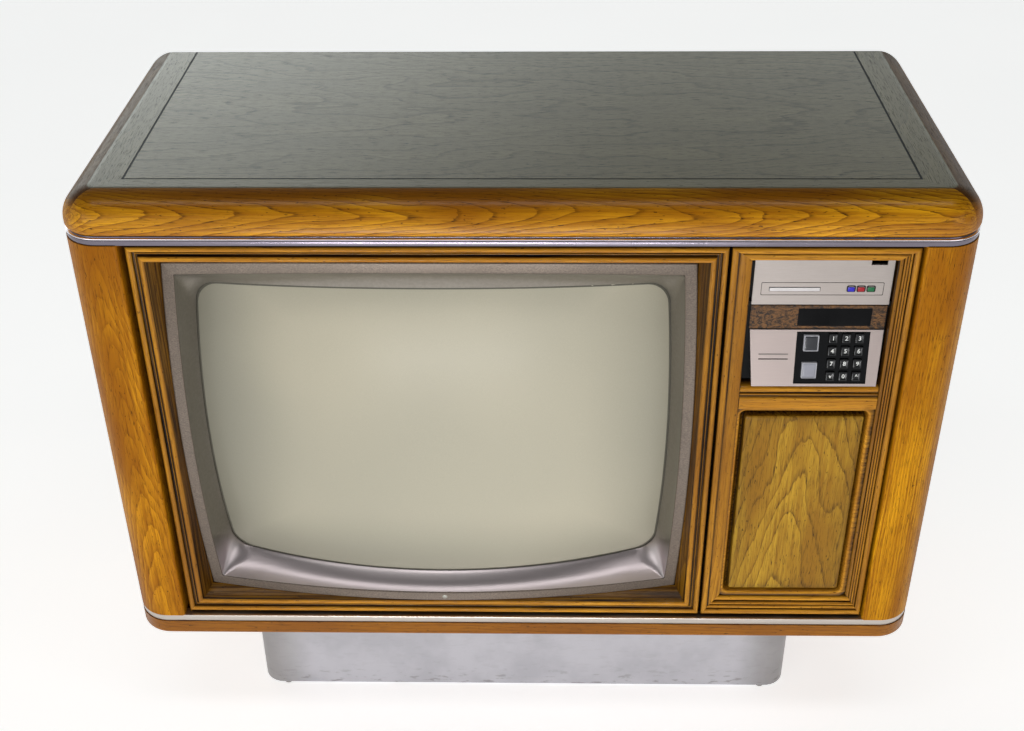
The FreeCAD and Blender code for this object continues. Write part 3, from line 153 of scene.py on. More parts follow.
GRAIN_ORDER = {"x": (0, 1, 2), "y": (1, 0, 2), "z": (2, 0, 1)}


class Finish(NodeTree):
    """One material, built from where a point lies in the object's own space."""

    def __init__(self, name, sockets):
        self.material = bpy.data.materials.new(name)
        self.material.use_nodes = True
        super().__init__(self.material.node_tree)
        self.shader = self.nodes["Principled BSDF"]
        self.paint(sockets)
        self.spot = self.node("ShaderNodeTexCoord").outputs["Object"]

    def paint(self, sockets):
        """Set or link the shader's sockets, and give the material back."""
        for socket, value in sockets.items():
            self.feed(self.shader.inputs[socket], value)
        return self.material

    def blend(self, share, first, second):
        made = self.node("ShaderNodeMix", {0: share, 6: first, 7: second}, data_type="RGBA")
        return made.outputs[2]

    def stretched(self, scales, shift=(0.0, 0.0, 0.0)):
        sockets = {"Vector": self.spot, "Location": shift, "Scale": scales}
        return self.node("ShaderNodeMapping", sockets).outputs[0]

    def noise(self, vector, scale=1.0, detail=3.0, roughness=0.55, warp=0.0):
        sockets = {"Vector": vector, "Scale": scale, "Detail": detail, "Roughness": roughness,
                   "Distortion": warp}
        return self.node("ShaderNodeTexNoise", sockets).outputs[0]

    def grained(self, grain, along, across, shift, detail):
        """Noise stretched along the grain, at scales per metre along it and across it."""
        scales = [across] * 3
        scales[GRAIN_ORDER[grain][0]] = along
        return self.noise(self.stretched(scales, shift), detail=detail)

    def axes(self):
        return self.node("ShaderNodeSeparateXYZ", {"Vector": self.spot}).outputs

    def bump(self, height, distance, strength=1.0):
        sockets = {"Height": height, "Distance": distance, "Strength": strength}
        return self.node("ShaderNodeBump", sockets).outputs[0]


def growth_rings(finish, grain, heart, spacing, lean, wander, ragged, shift):
    """How far through its year the wood is, from rings round a heart line that leans off the grain."""
    axes = finish.axes()
    along, across, deep = (axes[index] for index in GRAIN_ORDER[grain])
    slow = finish.grained(grain, 2.5, 9.0, shift, 2.0)
    quick = finish.grained(grain, 16.0, 110.0, shift, 3.0)
    uneven = finish.grained(grain, 7.0, 24.0, shift, 1.0)
    drift = finish.linear(slow, 2 * wander, -wander)
    sideways = finish.math("ADD", finish.less(across, heart[0]), drift)
    inwards = finish.less(deep, heart[1])
    square = finish.linear(sideways, sideways, finish.times(inwards, inwards))
    leaned = finish.linear(along, lean, finish.math("SQRT", square))
    swayed = finish.linear(uneven, 3.0 * spacing, finish.math("ADD", leaned, drift))
    wobbled = finish.linear(quick, ragged * spacing, swayed)
    return finish.math("FRACT", finish.math("DIVIDE", wobbled, spacing))


def wood(name, grain, heart, palette, spacing=0.005, lean=0.05, wander=0.010, lines=0.6, ragged=0.5,
         porous=0.3, pore_pitch=1100.0, gloss=0.12, coat_ior=1.22, sheen=1.0, glazed=False,
         reflection_painted_above=None, shaded_shoulder=None, seed=0.0):
    """Lacquered wood: growth rings, streaks, pores and flecks, with glazing and painted shade in its grooves
    if asked.

    A ramp over the height, where given, paints shade on the upper part of a rail's bullnose. Above a
    given height the wood takes a painted grey-green reflection of the bright surroundings on the top.
    """
    finish = Finish(name, {"Coat Roughness": gloss, "Coat IOR": coat_ior, "Specular IOR Level": 0.04})
    shift = (seed, seed * 1.7, seed * 0.6)

    def marks(along, across, detail, low, high):
        return finish.ramp(finish.grained(grain, along, across, shift, detail), low, high)

    phase = growth_rings(finish, grain, heart, spacing, lean, wander, ragged, shift)
    line = finish.times(finish.ramp(phase, 0.03, 0.22, 1.0, 0.0), finish.ramp(phase, 0.0, 0.03))
    shade = finish.ramp(phase, 0.10, 1.0, 0.45, 0.0)
    pores = marks(60.0, pore_pitch, 2.0, 0.55, 0.64)
    streaks = marks(7.0, 330.0, 4.0, 0.38, 0.68)
    flecks = marks(150.0, 520.0, 1.0, 0.69, 0.76)
    tone = marks(5.0, 22.0, 2.0, 0.30, 0.70)
    ring_share = finish.times(finish.times(line, finish.linear(pores, 0.6, 0.4)), lines)

    def stained(tints):
        ground = finish.blend(tone, tints["light"], tints["middle"])
        ground = finish.blend(finish.linear(streaks, 0.55, shade, clamp=True), ground, tints["middle"])
        ground = finish.blend(ring_share, ground, tints["dark"])
        ground = finish.blend(finish.times(pores, porous), ground, tints["dark"])
        return finish.blend(finish.times(flecks, 0.7), ground, tints["pore"])

    ground = stained(palette)
    # Darkening from glazing that gathers in the hollows, with painted shade in the recesses and on faces
    # turned from the light.
    if glazed:
        glaze = finish.node("ShaderNodeAttribute", attribute_name="glaze").outputs["Fac"]
        smear = finish.linear(streaks, 0.30, 0.80)
        ground = finish.blend(finish.times(glaze, smear, clamp=True), ground, palette["pore"])
    # Painted shade: the upper part of a rail's bullnose darkened, as where it turns away from the light.
    if shaded_shoulder is not None:
        ground = finish.blend(finish.ramp(finish.axes()[2], *shaded_shoulder), ground, palette["pore"])
    facing = finish.node("ShaderNodeLayerWeight", {"Blend": 0.5}).outputs["Facing"]
    coated = finish.ramp(facing, 0.60, 0.95, sheen, 0.08 * sheen)
    # Painted reflection: above the top's height the wood takes the grey-green of the bright surroundings
    # seen in its lacquer.
    if reflection_painted_above is not None:
        flat = finish.ramp(finish.axes()[2], reflection_painted_above - 0.0004, reflection_painted_above - 0.0001)
        ground = finish.blend(flat, ground, stained(PAINTED_REFLECTION))
        open_grain = finish.times(finish.math("MAXIMUM", ring_share, pores), 0.42)
        coated = finish.times(finish.math("MAXIMUM", coated, flat), finish.less(1.0, open_grain))
    hollows = finish.less(1.0, finish.linear(ring_share, 0.6, pores))
    return finish.paint({
        "Base Color": ground,
        "Coat Weight": coated,
        "Roughness": finish.linear(pores, 0.2, 0.42),
        "Normal": finish.bump(hollows, 0.00012, 0.6),
        "Coat Normal": finish.bump(finish.linear(streaks, 0.4, hollows), 0.00004, 0.5),
    })


def metal(name, base, rough, scales, contrast=0.08, metallic=1.0, scuff=0.25, bump=0.00002):
    """Satin metal or metallic paint with a brushed or mottled grain and faint scuffs."""
    finish = Finish(name, {"Metallic": metallic})
    brushed = finish.noise(finish.stretched(scales), detail=4.0, roughness=0.6)
    worn = finish.ramp(finish.noise(finish.spot, 9.0, detail=3.0), 0.45, 0.72)
    darker = tinted(base, 1 - contrast)
    tone = finish.blend(finish.ramp(brushed, 0.3, 0.7), darker, tinted(base, 1 + contrast))
    return finish.paint({
        "Base Color": finish.blend(finish.times(worn, scuff), tone, darker),
        "Roughness": finish.linear(finish.math("ADD", brushed, worn), 0.12, rough),
        "Normal": finish.bump(brushed, bump, 0.6),
    })


def moulded(name, base, rough=0.35, grain=900.0, bump=0.00004, gloss=0.4, contrast=0.25):
    """Moulded plastic: a fine grain in the surface, uneven gloss and patches of paler dust."""
    finish = Finish(name, {"Specular IOR Level": gloss})
    fine = finish.noise(finish.spot, grain, detail=2.0)
    broad = finish.noise(finish.spot, 14.0, detail=4.0)
    dusty = tinted(base, 1 + contrast, 0.004)
    return finish.paint({
        "Base Color": finish.blend(finish.ramp(broad, 0.35, 0.75), base, dusty),
        "Roughness": finish.linear(broad, 0.16, rough - 0.08),
        "Normal": finish.bump(fine, bump, 0.7),
    })


def screen_glass():
    """The unlit picture tube: grey-green phosphor under dark glass, with painted shade towards its edges and
    over its left side.
    """
    finish = Finish("screen_glass_finish", {"Coat Weight": 0.3, "Coat Roughness": 0.3, "Roughness": 0.6,
                                            "Specular IOR Level": 0.2})
    axes = finish.axes()
    middle = SCREEN_MID * MM + Vector((0.0, 0.0, 0.025))
    half_width, half_height = 0.27, 0.215
    across = finish.math("DIVIDE", finish.less(axes[0], middle.x), half_width)
    up = finish.math("DIVIDE", finish.less(axes[2], middle.z), half_height)
    reach = finish.math("MAXIMUM", finish.math("ABSOLUTE", across), finish.math("ABSOLUTE", up))
    # Painted shade: darker towards the edges, where the mask overhangs, and over the left side.
    rim = finish.ramp(reach, 0.55, 1.02)
    left_shade = finish.ramp(across, -1.1, 0.5, 0.34, 0.0)
    warm = finish.ramp(finish.noise(finish.spot, 3.2, detail=1.0), 0.35, 0.65)
    body = finish.blend(warm, colour(184, 178, 159), colour(200, 192, 170))
    shaded_edges = finish.blend(finish.linear(rim, 0.45, left_shade), body, colour(122, 120, 108))
    dots = finish.noise(finish.stretched((1600.0, 200.0, 800.0)), detail=0.0)
    return finish.paint({
        "Base Color": finish.blend(finish.ramp(dots, 0.3, 0.7, 0.0, 0.05), shaded_edges, colour(90, 92, 78)),
        "Coat Normal": finish.bump(finish.noise(finish.spot, 40.0, detail=1.0), 0.00001, 0.1),
    })


def mask_paint():
    """Satin metallic paint on the funnel, with a painted highlight along its lower edge."""
    finish = Finish("mask_finish", {"Metallic": 0.85})
    fine = finish.noise(finish.spot, 260.0, detail=4.0, roughness=0.6)
    low = box_mm("screen_mask")[0].z * MM
    # Painted highlight: the funnel's lower part paler, as where it catches the light from above.
    lower_highlight = finish.ramp(finish.axes()[2], low + 0.028, low + 0.085, 1.0, 0.0)
    body = finish.blend(finish.ramp(fine, 0.3, 0.7), colour(140, 134, 125), colour(148, 142, 133))
    return finish.paint({
        "Base Color": finish.blend(lower_highlight, body, colour(206, 194, 196)),
        "Roughness": finish.linear(fine, 0.10, 0.26),
        "Normal": finish.bump(fine, 0.00002, 0.6),
    })


def pedestal_paint():
    """Silver paint on the pedestal: painted shade towards its rounded corners, and scuffed along its foot.
    """
    finish = Finish("pedestal_finish", {"Metallic": 0.75})
    low, high = (corner * MM for corner in box_mm("pedestal_shell"))
    axes = finish.axes()
    patches = finish.noise(finish.spot, 18.0, detail=4.0)
    # Painted shade: the rounded corners darker, as where they turn away from the light.
    corner = finish.ramp(finish.math("ABSOLUTE", axes[0]), high.x - 0.075, high.x - 0.020, 0.0, 0.55)
    foot = finish.ramp(axes[2], low.z, low.z + 0.035, 1.0, 0.0)
    marks = finish.ramp(finish.noise(finish.stretched((60.0, 60.0, 210.0)), detail=4.0), 0.55, 0.66)
    scuffs = finish.times(finish.linear(foot, 0.45, 0.06), marks)
    body = finish.blend(finish.ramp(patches, 0.35, 0.7), colour(188, 187, 193), colour(176, 175, 181))
    corner_shaded = finish.blend(corner, body, colour(128, 124, 118))
    return finish.paint({
        "Base Color": finish.blend(scuffs, corner_shaded, colour(104, 100, 94)),
        "Roughness": finish.linear(patches, 0.15, 0.36),
        "Normal": finish.bump(finish.less(patches, scuffs), 0.00004, 0.5),
    })


def circuit_card():
    """Tan phenolic board with green-brown tracks under lacquer."""
    finish = Finish("circuit_card_finish", {"Roughness": 0.4, "Coat Weight": 0.3})
    cells = finish.node("ShaderNodeTexVoronoi", {"Vector": finish.spot, "Scale": 190.0},
                        distance="MANHATTAN", feature="DISTANCE_TO_EDGE").outputs["Distance"]
    track = finish.ramp(cells, 0.10, 0.16, 1.0, 0.0)
    flecks = finish.ramp(finish.noise(finish.spot, 600.0), 0.35, 0.65)
    board = finish.blend(flecks, colour(150, 110, 62), colour(128, 92, 50))
    return finish.paint({
        "Base Color": finish.blend(track, board, colour(74, 92, 40)),
        "Normal": finish.bump(track, 0.00005, 0.6),
    })


def copper_winding():
    """Lacquered copper wire laid in close turns."""
    finish = Finish("winding_finish", {"Metallic": 0.9, "Coat Weight": 0.6})
    sockets = {"Vector": finish.spot, "Scale": 220.0, "Distortion": 2.0, "Detail": 2.0}
    wires = finish.node("ShaderNodeTexWave", sockets, bands_direction="Y").outputs["Fac"]
    return finish.paint({
        "Base Color": finish.blend(wires, colour(96, 44, 20), colour(176, 92, 48)),
        "Roughness": finish.linear(wires, -0.15, 0.45),
        "Normal": finish.bump(wires, 0.0002, 0.8),
    })


def coil_tape():
    """Cloth tape wound round the coil, each turn lapping the last."""
    finish = Finish("coil_tape_finish", {"Roughness": 0.7})
    laps = finish.node("ShaderNodeTexWave", {"Vector": finish.spot, "Scale": 60.0, "Distortion": 1.0},
                       wave_profile="SAW", bands_direction="DIAGONAL").outputs["Fac"]
    woven = finish.times(laps, finish.noise(finish.spot, 900.0))
    return finish.paint({
        "Base Color": finish.blend(woven, colour(26, 25, 27), colour(64, 62, 66)),
        "Normal": finish.bump(laps, 0.0003, 0.7),
    })


def burl():
    """Dark burr walnut print: swirling brown and black figure."""
    finish = Finish("burl_finish", {"Coat Weight": 0.5, "Coat Roughness": 0.15, "Coat IOR": 1.3,
                                    "Specular IOR Level": 0.2})
    swirl = finish.noise(finish.stretched((90.0, 90.0, 140.0)), detail=6.0, roughness=0.65, warp=2.4)
    specks = finish.ramp(finish.noise(finish.spot, 420.0, detail=3.0, warp=1.0), 0.52, 0.68, 0.0, 0.7)
    warm = finish.blend(finish.ramp(swirl, 0.36, 0.62), colour(30, 20, 12), colour(118, 78, 36))
    return finish.paint({
        "Base Color": finish.blend(specks, warm, colour(24, 14, 9)),
        "Roughness": finish.linear(swirl, 0.2, 0.3),
        "Normal": finish.bump(swirl, 0.00002, 0.4),
    })


def keypad_plate(well):
    """The keypad's silver plate, gloss black inside the sunk well: left, right, foot and head in mm."""
    finish = Finish("keypad_plate_finish", {"Specular IOR Level": 0.12})
    axes = finish.axes()
    left, right, foot, head = (edge * MM for edge in well)

    def between(value, low, high):
        return finish.times(finish.math("GREATER_THAN", value, low), finish.math("LESS_THAN", value, high))

    inside = finish.times(between(axes[0], left, right), between(axes[2], foot, head))
    brushed = finish.noise(finish.stretched((60.0, 500.0, 900.0)), detail=3.0)
    silver = finish.blend(finish.ramp(brushed, 0.3, 0.7, 0.0, 0.10), colour(174, 160, 156),
                          colour(150, 142, 140))
    return finish.paint({
        "Base Color": finish.blend(inside, silver, colour(7, 8, 11)),
        "Metallic": finish.linear(inside, -0.55, 0.55),
        "Roughness": finish.linear(inside, -0.28, 0.38),
        "Normal": finish.bump(brushed, 0.00001, 0.4),
    })


def wood_finishes():
    """The case's timbers; a heart is the middle of the growth rings, across the grain and into it."""
    post_x = box_mm("corner_post_right")[0].x * MM
    front = FRONT * MM
    top = TOP * MM
    moulding = {"lean": 0.02, "lines": 0.35, "gloss": 0.14, "glazed": True}
    # The top's flat wood carries a painted reflection of the bright surroundings.
    painted_reflection_top = {"reflection_painted_above": top, "coat_ior": 1.45}
    # The side rails' bullnoses carry painted shade on their upper part.
    side_rail = {"lean": 0.02, "lines": 0.3, "porous": 0.55, "pore_pitch": 1300.0, "sheen": 0.3,
                 "shaded_shoulder": (top - 0.020, top - 0.006, 0.0, 0.8), **painted_reflection_top}
    return {
        "post_left": wood("post_left_oak", "z", (-post_x - 0.024, front + 0.012), AMBER, lean=0.11, seed=1.3,
                          spacing=0.0044, wander=0.012, ragged=0.9, lines=0.42, porous=0.4, sheen=0.25),
        "post_right": wood("post_right_oak", "z", (post_x + 0.30, front + 0.02), HONEY, lean=0.0, seed=4.1,
                           spacing=0.0035, wander=0.006, lines=0.35, porous=0.5, sheen=0.25),
        "side_left": wood("side_left_oak", "z", (-0.42, 0.02), HONEY, seed=7.7, wander=0.02),
        "side_right": wood("side_right_oak", "z", (0.42, -0.04), HONEY, seed=9.2, wander=0.02),
        # The front rail's bullnose carries painted shade on its upper part.
        "rail_front": wood("rail_front_oak", "x", (front + 0.010, top - 0.023), HONEY, lean=0.085,
                           seed=2.6, spacing=0.0040, wander=0.014, ragged=0.8, lines=1.0, gloss=0.2,
                           sheen=0.5, shaded_shoulder=(top - 0.018, top - 0.001, 0.0, 0.3), **painted_reflection_top),
        "rail_left": wood("rail_left_oak", "y", (-0.44, top - 0.06), HONEY, seed=5.5, **side_rail),
        "rail_right": wood("rail_right_oak", "y", (0.44, top - 0.06), HONEY, seed=6.1, **side_rail),
        "field": wood("field_veneer", "x", (-0.03, top - 0.11), EDGE, lean=0.075, seed=3.3, spacing=0.016,
                      wander=0.03, lines=0.9, porous=0.9, pore_pitch=1500.0, **painted_reflection_top),
        "board": wood("bottom_board_oak", "x", (front + 0.03, 0.12), EDGE, lean=0.03, seed=8.4),
        "moulding_x": wood("moulding_across", "x", (front + 0.04, 0.40), GOLDEN, seed=2.2, **moulding),
        "moulding_z": wood("moulding_upright", "z", (0.30, front + 0.05), UMBER, seed=3.9, **moulding),
        "panel": wood("panel_figured", "z", (0.320, front + 0.042), OLIVE, lean=0.16, seed=5.9,
                      spacing=0.0095, wander=0.020, lines=0.9, ragged=0.8, porous=0.45,
                      pore_pitch=1300.0, gloss=0.2, glazed=True),
        "pedestal_board": wood("pedestal_board_finish", "x", (0.0, 0.30), CRATE),
    }


# Colour, roughness, the grain's scales per metre, and settings that differ from the usual.
METALS = {
    "bright_trim": ((122, 116, 126), 0.16, (8.0, 8.0, 900.0), {"contrast": 0.06}),
    # A much brighter copy of the trim's metal for the bead: a painted highlight along it.
    "bead_highlight": ((250, 244, 252), 0.12, (8.0, 8.0, 900.0), {"contrast": 0.04}),
    "satin_trim": ((196, 188, 180), 0.26, (8.0, 8.0, 900.0), {"contrast": 0.10}),
    "nameplate_bar": ((188, 184, 184), 0.4, (60.0, 500.0, 900.0), {}),
    "mask_rim": ((131, 119, 109), 0.42, (520.0, 520.0, 1400.0),
                 {"contrast": 0.30, "metallic": 0.7, "scuff": 0.1, "bump": 0.0002}),
    "silver_fascia": ((167, 158, 153), 0.36, (90.0, 700.0, 1400.0), {"contrast": 0.03, "metallic": 0.55}),
    "plated_steel": ((170, 168, 160), 0.34, (60.0, 60.0, 60.0), {"contrast": 0.15}),
    "glide": ((150, 148, 145), 0.3, (200.0, 200.0, 200.0), {}),
}

# Colour, and settings that differ from the usual.
PLASTICS = {
    "baffle": ((16, 14, 13), {"rough": 0.7, "grain": 300.0, "bump": 0.0002}),
    "tube_border": ((84, 81, 71), {"rough": 0.4}),
    "tube_coating": ((24, 24, 26), {"rough": 0.6}),
    "black": ((11, 11, 12), {"rough": 0.42, "gloss": 0.1}),
    "gloss_black": ((6, 6, 8), {"rough": 0.14, "gloss": 0.08, "bump": 0.00001}),
    "key": ((12, 13, 16), {"rough": 0.2, "gloss": 0.35, "bump": 0.00001}),
    "figure": ((244, 244, 238), {"rough": 0.4}),
    "cover": ((58, 44, 33), {"rough": 0.62, "grain": 420.0, "bump": 0.0003, "contrast": 0.4}),
    "smoke": ((40, 41, 46), {"rough": 0.2, "contrast": 0.9}),
    "pale": ((140, 140, 150), {"rough": 0.3, "contrast": 0.4}),
    "button_rim": ((160, 160, 166), {"rough": 0.3}),
    "rule": ((120, 112, 108), {"rough": 0.4}),
    "blue_chip": ((34, 26, 168), {"rough": 0.3, "gloss": 0.3}),
    "red_chip": ((150, 10, 26), {"rough": 0.3, "gloss": 0.3}),
    "green_chip": ((8, 98, 54), {"rough": 0.3, "gloss": 0.3}),
    "inlay": ((6, 6, 6), {"rough": 0.5, "gloss": 0.2}),
}


def make_finishes():
    """Every finish by the name that the dressing below uses."""
    made = wood_finishes()
    for name, (tint, rough, scales, settings) in METALS.items():
        made[name] = metal(f"{name}_finish", colour(*tint), rough, scales, **settings)
    for name, (tint, settings) in PLASTICS.items():
        made[name] = moulded(f"{name}_finish", colour(*tint), **settings)
    made.update({"pedestal": pedestal_paint(), "mask": mask_paint(), "glass": screen_glass(), "burl": burl(),
                 "winding": copper_winding(), "tape": coil_tape(), "card": circuit_card()})
    return made


FINISHES = make_finishes()


# ---- mesh helpers

def place_mesh(name, mesh, finish, body):
    mesh.materials.append(FINISHES[finish])
    piece = bpy.data.objects.new(name, mesh)
    bpy.context.scene.collection.objects.link(piece)
    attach(piece, body)
    return piece


def add_piece(name, vertices, faces, finish, body, slot, sharp=32.0, glaze=None, node=None):
    """A mesh from points in millimetres, smooth up to an angle, riding on a body; it may replace a node."""
    mesh = bpy.data.meshes.new(name)
    mesh.from_pydata([Vector(point) * MM for point in vertices], [], faces)
    # A per-point darkening for the wood: glazing in the hollows, with painted shade.
    if glaze is not None:
        layer = mesh.attributes.new("glaze", "FLOAT", "POINT")
        layer.data.foreach_set("value", glaze)
    work = bmesh.new()
    work.from_mesh(mesh)
    bmesh.ops.recalc_face_normals(work, faces=work.faces)
    work.to_mesh(mesh)
    work.free()
    mesh.shade_smooth()
    mesh.set_sharp_from_angle(angle=math.radians(sharp))
    piece = place_mesh(name, mesh, finish, body)
    if node is not None:
        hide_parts(node)
    return piece


def stack(loops, joined=False):
    """Vertices and faces through closed loops of equal length, capped at both ends or joined round."""
    count = len(loops[0])
    vertices = [point for loop in loops for point in loop]
    faces = []
    last = len(loops) if joined else len(loops) - 1
    for level in range(last):
        near = level * count
        far = (level + 1) % len(loops) * count
        for index in range(count):
            after = (index + 1) % count
            faces.append((near + index, near + after, far + after, far + index))
    if not joined:
        faces.append(tuple(range(count)))
        faces.append(tuple(range(len(vertices) - count, len(vertices))))
    return vertices, faces


def stacked(name, loops, finish, body, slot, joined=False, **settings):
    vertices, faces = stack(loops, joined)
    return add_piece(name, vertices, faces, finish, body, slot, **settings)


def rounded_loop(edges, inset, radius, y, steps=6, side_steps=1):
    """A rounded rectangle facing -y, set in from its left, right, foot and head edges.

    Its points are counted round from the right side's foot.
    """
    left, right, foot, head = edges
    near = inset + radius
    corners = ((right - near, foot + near, -90), (right - near, head - near, 0),
               (left + near, head - near, 90), (left + near, foot + near, 180))

    def on_corner(corner, step):
        x, z, start = corner
        turn = math.radians(start + 90 * step / steps)
        return Vector((x + radius * math.cos(turn), y, z + radius * math.sin(turn)))

    points = []
    for index, corner in enumerate(corners):
        points += [on_corner(corner, step) for step in range(steps + 1)]
        here = points[-1]
        target = on_corner(corners[(index + 1) % 4], 0)
        points += [here.lerp(target, step / side_steps) for step in range(1, side_steps)]
    return points


def stepped_loops(edges, steps, front):
    """Rounded loops at insets, depths and corner radii, and the darkening from glazing and painted shade at
    each of their points.
    """
    loops = [rounded_loop(edges, inset, radius, front + depth) for inset, depth, radius, _ in steps]
    return loops, [glaze for _, _, _, glaze in steps for _ in loops[0]]


def block(name, low, high, finish, body, slot, edge, segments=2):
    """A block between two corners with small rounds on its edges."""
    x0, y0, z0 = low
    x1, y1, z1 = high
    loops = [[(x0, y, z0), (x1, y, z0), (x1, y, z1), (x0, y, z1)] for y in (y0, y1)]
    rounds = stacked(name, loops, finish, body, slot).modifiers.new("rounds", "BEVEL")
    rounds.width = edge * MM
    rounds.segments = segments
    rounds.limit_method = "ANGLE"
    rounds.harden_normals = True


# ---- front mouldings

SIDES = {"left": "moulding_z", "right": "moulding_z", "foot": "moulding_x", "head": "moulding_x"}
SCREEN_WIDTHS = dict.fromkeys(SIDES, 29.0)
CONTROL_WIDTHS = {"left": 22.0, "right": 21.5, "foot": 33.5, "head": 15.0}
PANEL_LAP = 6.0


def half_round(start, end, crown, foot, steps=7):
    """A bead from one inset to another: (inset, depth, darkening) points over its crown."""
    middle = (start + end) / 2
    half = (end - start) / 2
    points = []
    for step in range(steps + 1):
        turn = math.pi * step / steps
        rise = math.sin(turn)
        # The darkening is glazing with painted shade, deepest at the bead's feet and none on its crown.
        glaze = 0.95 * (1 - rise) ** 1.3
        points.append((middle - half * math.cos(turn), foot - (foot - crown) * rise, glaze))
    return points


def mitred_length(node, side, widths, profile):
    """One side of a frame: a profile of insets, depths and darkening from glazing and painted shade, cut on
    the corners' mitres.
    """
    low, high = box_mm(node)
    back = high.y - low.y
    outline = profile + [(profile[-1][0], back, 1.0), (profile[0][0], back, 1.0)]
    ends = ([], [])
    for inset, depth, _ in outline:
        share = inset / widths[side]
        y = SCREEN_LOW.y + depth
        rim = {"left": low.x + share * widths["left"], "right": high.x - share * widths["right"],
               "foot": low.z + share * widths["foot"], "head": high.z - share * widths["head"]}
        if side in ("foot", "head"):
            corners = ((rim["left"], y, rim[side]), (rim["right"], y, rim[side]))
        else:
            corners = ((rim[side], y, rim["foot"]), (rim[side], y, rim["head"]))
        for end, corner in zip(ends, corners):
            end.append(corner)
    glaze = [point[2] for point in outline] * 2
    stacked(f"{node}_{side}", ends, SIDES[side], "cabinet", "moulding", sharp=40.0, glaze=glaze, node=node)


def screen_frame():
    """The mitred moulding round the screen: two beads, a groove, and an inward slope, darkened by glazing
    and painted shade.
    """
    # The third number of each point is darkening from glazing and painted shade: deepest in the groove, down
    # the slope and at the back.
    profile = [(0.0, 3.4, 1.0)] + half_round(0.0, 6.4, 0.0, 2.8)
    profile += [(6.8, 4.6, 1.0), (8.2, 5.0, 1.0), (8.7, 4.0, 0.35), (9.4, 4.0, 0.35), (9.9, 5.2, 1.0),
                (11.4, 5.2, 1.0)]
    profile += half_round(11.8, 18.2, 0.4, 2.8)
    profile += [(18.6, 3.4, 0.95), (20.0, 5.2, 0.85), (28.0, 20.4, 0.8), (28.6, 22.0, 1.0)]
    for side in SIDES:
        mitred_length("screen_moulding", side, SCREEN_WIDTHS, profile)


def reeds(start, count, pitch, crown=1.0, foot=2.6):
    """Fine beads side by side."""
    points = []
    for index in range(count):
        points += half_round(start + pitch * index, start + pitch * (index + 1) - 0.5, crown, foot, 4)
    return points


def control_surround():
    """The frame round the controls: a bead all round, reeded on the right and at the foot."""
    # The third number of each point is darkening from glazing and painted shade, deepest in the hollows.
    bead = [(0.0, 4.0, 1.0)] + half_round(0.0, 7.4, 0.0, 2.2)
    flat_left = [(8.2, 2.0, 0.9), (9.2, 1.2, 0.3), (12.0, 1.0, 0.05), (19.6, 1.0, 0.1), (21.3, 1.7, 0.4),
                 (22.0, 3.2, 1.0)]
    flat_head = [(8.0, 2.0, 0.9), (8.8, 1.1, 0.2), (13.6, 1.0, 0.1), (14.7, 1.7, 0.5), (15.0, 3.0, 1.0)]
    reed_right = [(8.0, 2.8, 1.0)] + reeds(8.2, 3, 2.9)
    reed_right += [(17.2, 2.0, 0.9), (18.0, 1.4, 0.3), (20.6, 1.4, 0.3), (21.5, 3.0, 1.0)]
    reed_foot = [(8.4, 3.2, 1.0)] + half_round(9.0, 13.4, 0.8, 3.2, 5) + half_round(14.0, 18.0, 1.8, 4.2, 5)
    reed_foot += [(18.6, 5.6, 1.0), (19.0, 5.8, 1.0)] + half_round(19.4, 27.0, 2.4, 6.6, 6)
    reed_foot += [(27.8, 8.8, 1.0), (33.5, 14.6, 1.0)]
    inner = {"left": flat_left, "right": reed_right, "foot": reed_foot, "head": flat_head}
    for side, profile in inner.items():
        mitred_length("control_frame", side, CONTROL_WIDTHS, bead + profile)


def middle_rail():
    """The rail between the controls and the panel, and the lipped sill above it."""
    ends = (CONTROL_LOW.x + CONTROL_WIDTHS["left"], CONTROL_HIGH.x - CONTROL_WIDTHS["right"])
    foot = box_mm("lower_panel")[1].z - PANEL_LAP
    # The third number of each point is darkening from glazing and painted shade, deepest in the hollows.
    section = [(16.0, 0.0, 1.0), (3.0, 0.0, 1.0), (1.6, 1.0, 0.3), (1.0, 2.6, 0.05), (1.0, 15.0, 0.05),
               (1.7, 16.4, 0.4), (3.6, 17.4, 1.0), (3.8, 18.6, 1.0), (2.6, 19.4, 0.4), (2.4, 20.6, 0.2),
               (4.6, 21.6, 1.0), (4.8, 22.6, 1.0), (3.6, 23.2, 0.3), (3.0, 25.0, 0.1), (3.2, 27.2, 0.1),
               (4.4, 28.8, 0.1), (6.6, 29.8, 0.3), (11.0, 31.4, 0.8), (16.0, 31.8, 1.0)]
    loops = [[(x, SCREEN_LOW.y + depth, foot + rise) for depth, rise, _ in section] for x in ends]
    glaze = [point[2] for point in section] * 2
    stacked("control_frame_middle", loops, "moulding_x", "cabinet", "moulding", sharp=40.0, glaze=glaze,
            node="control_frame")


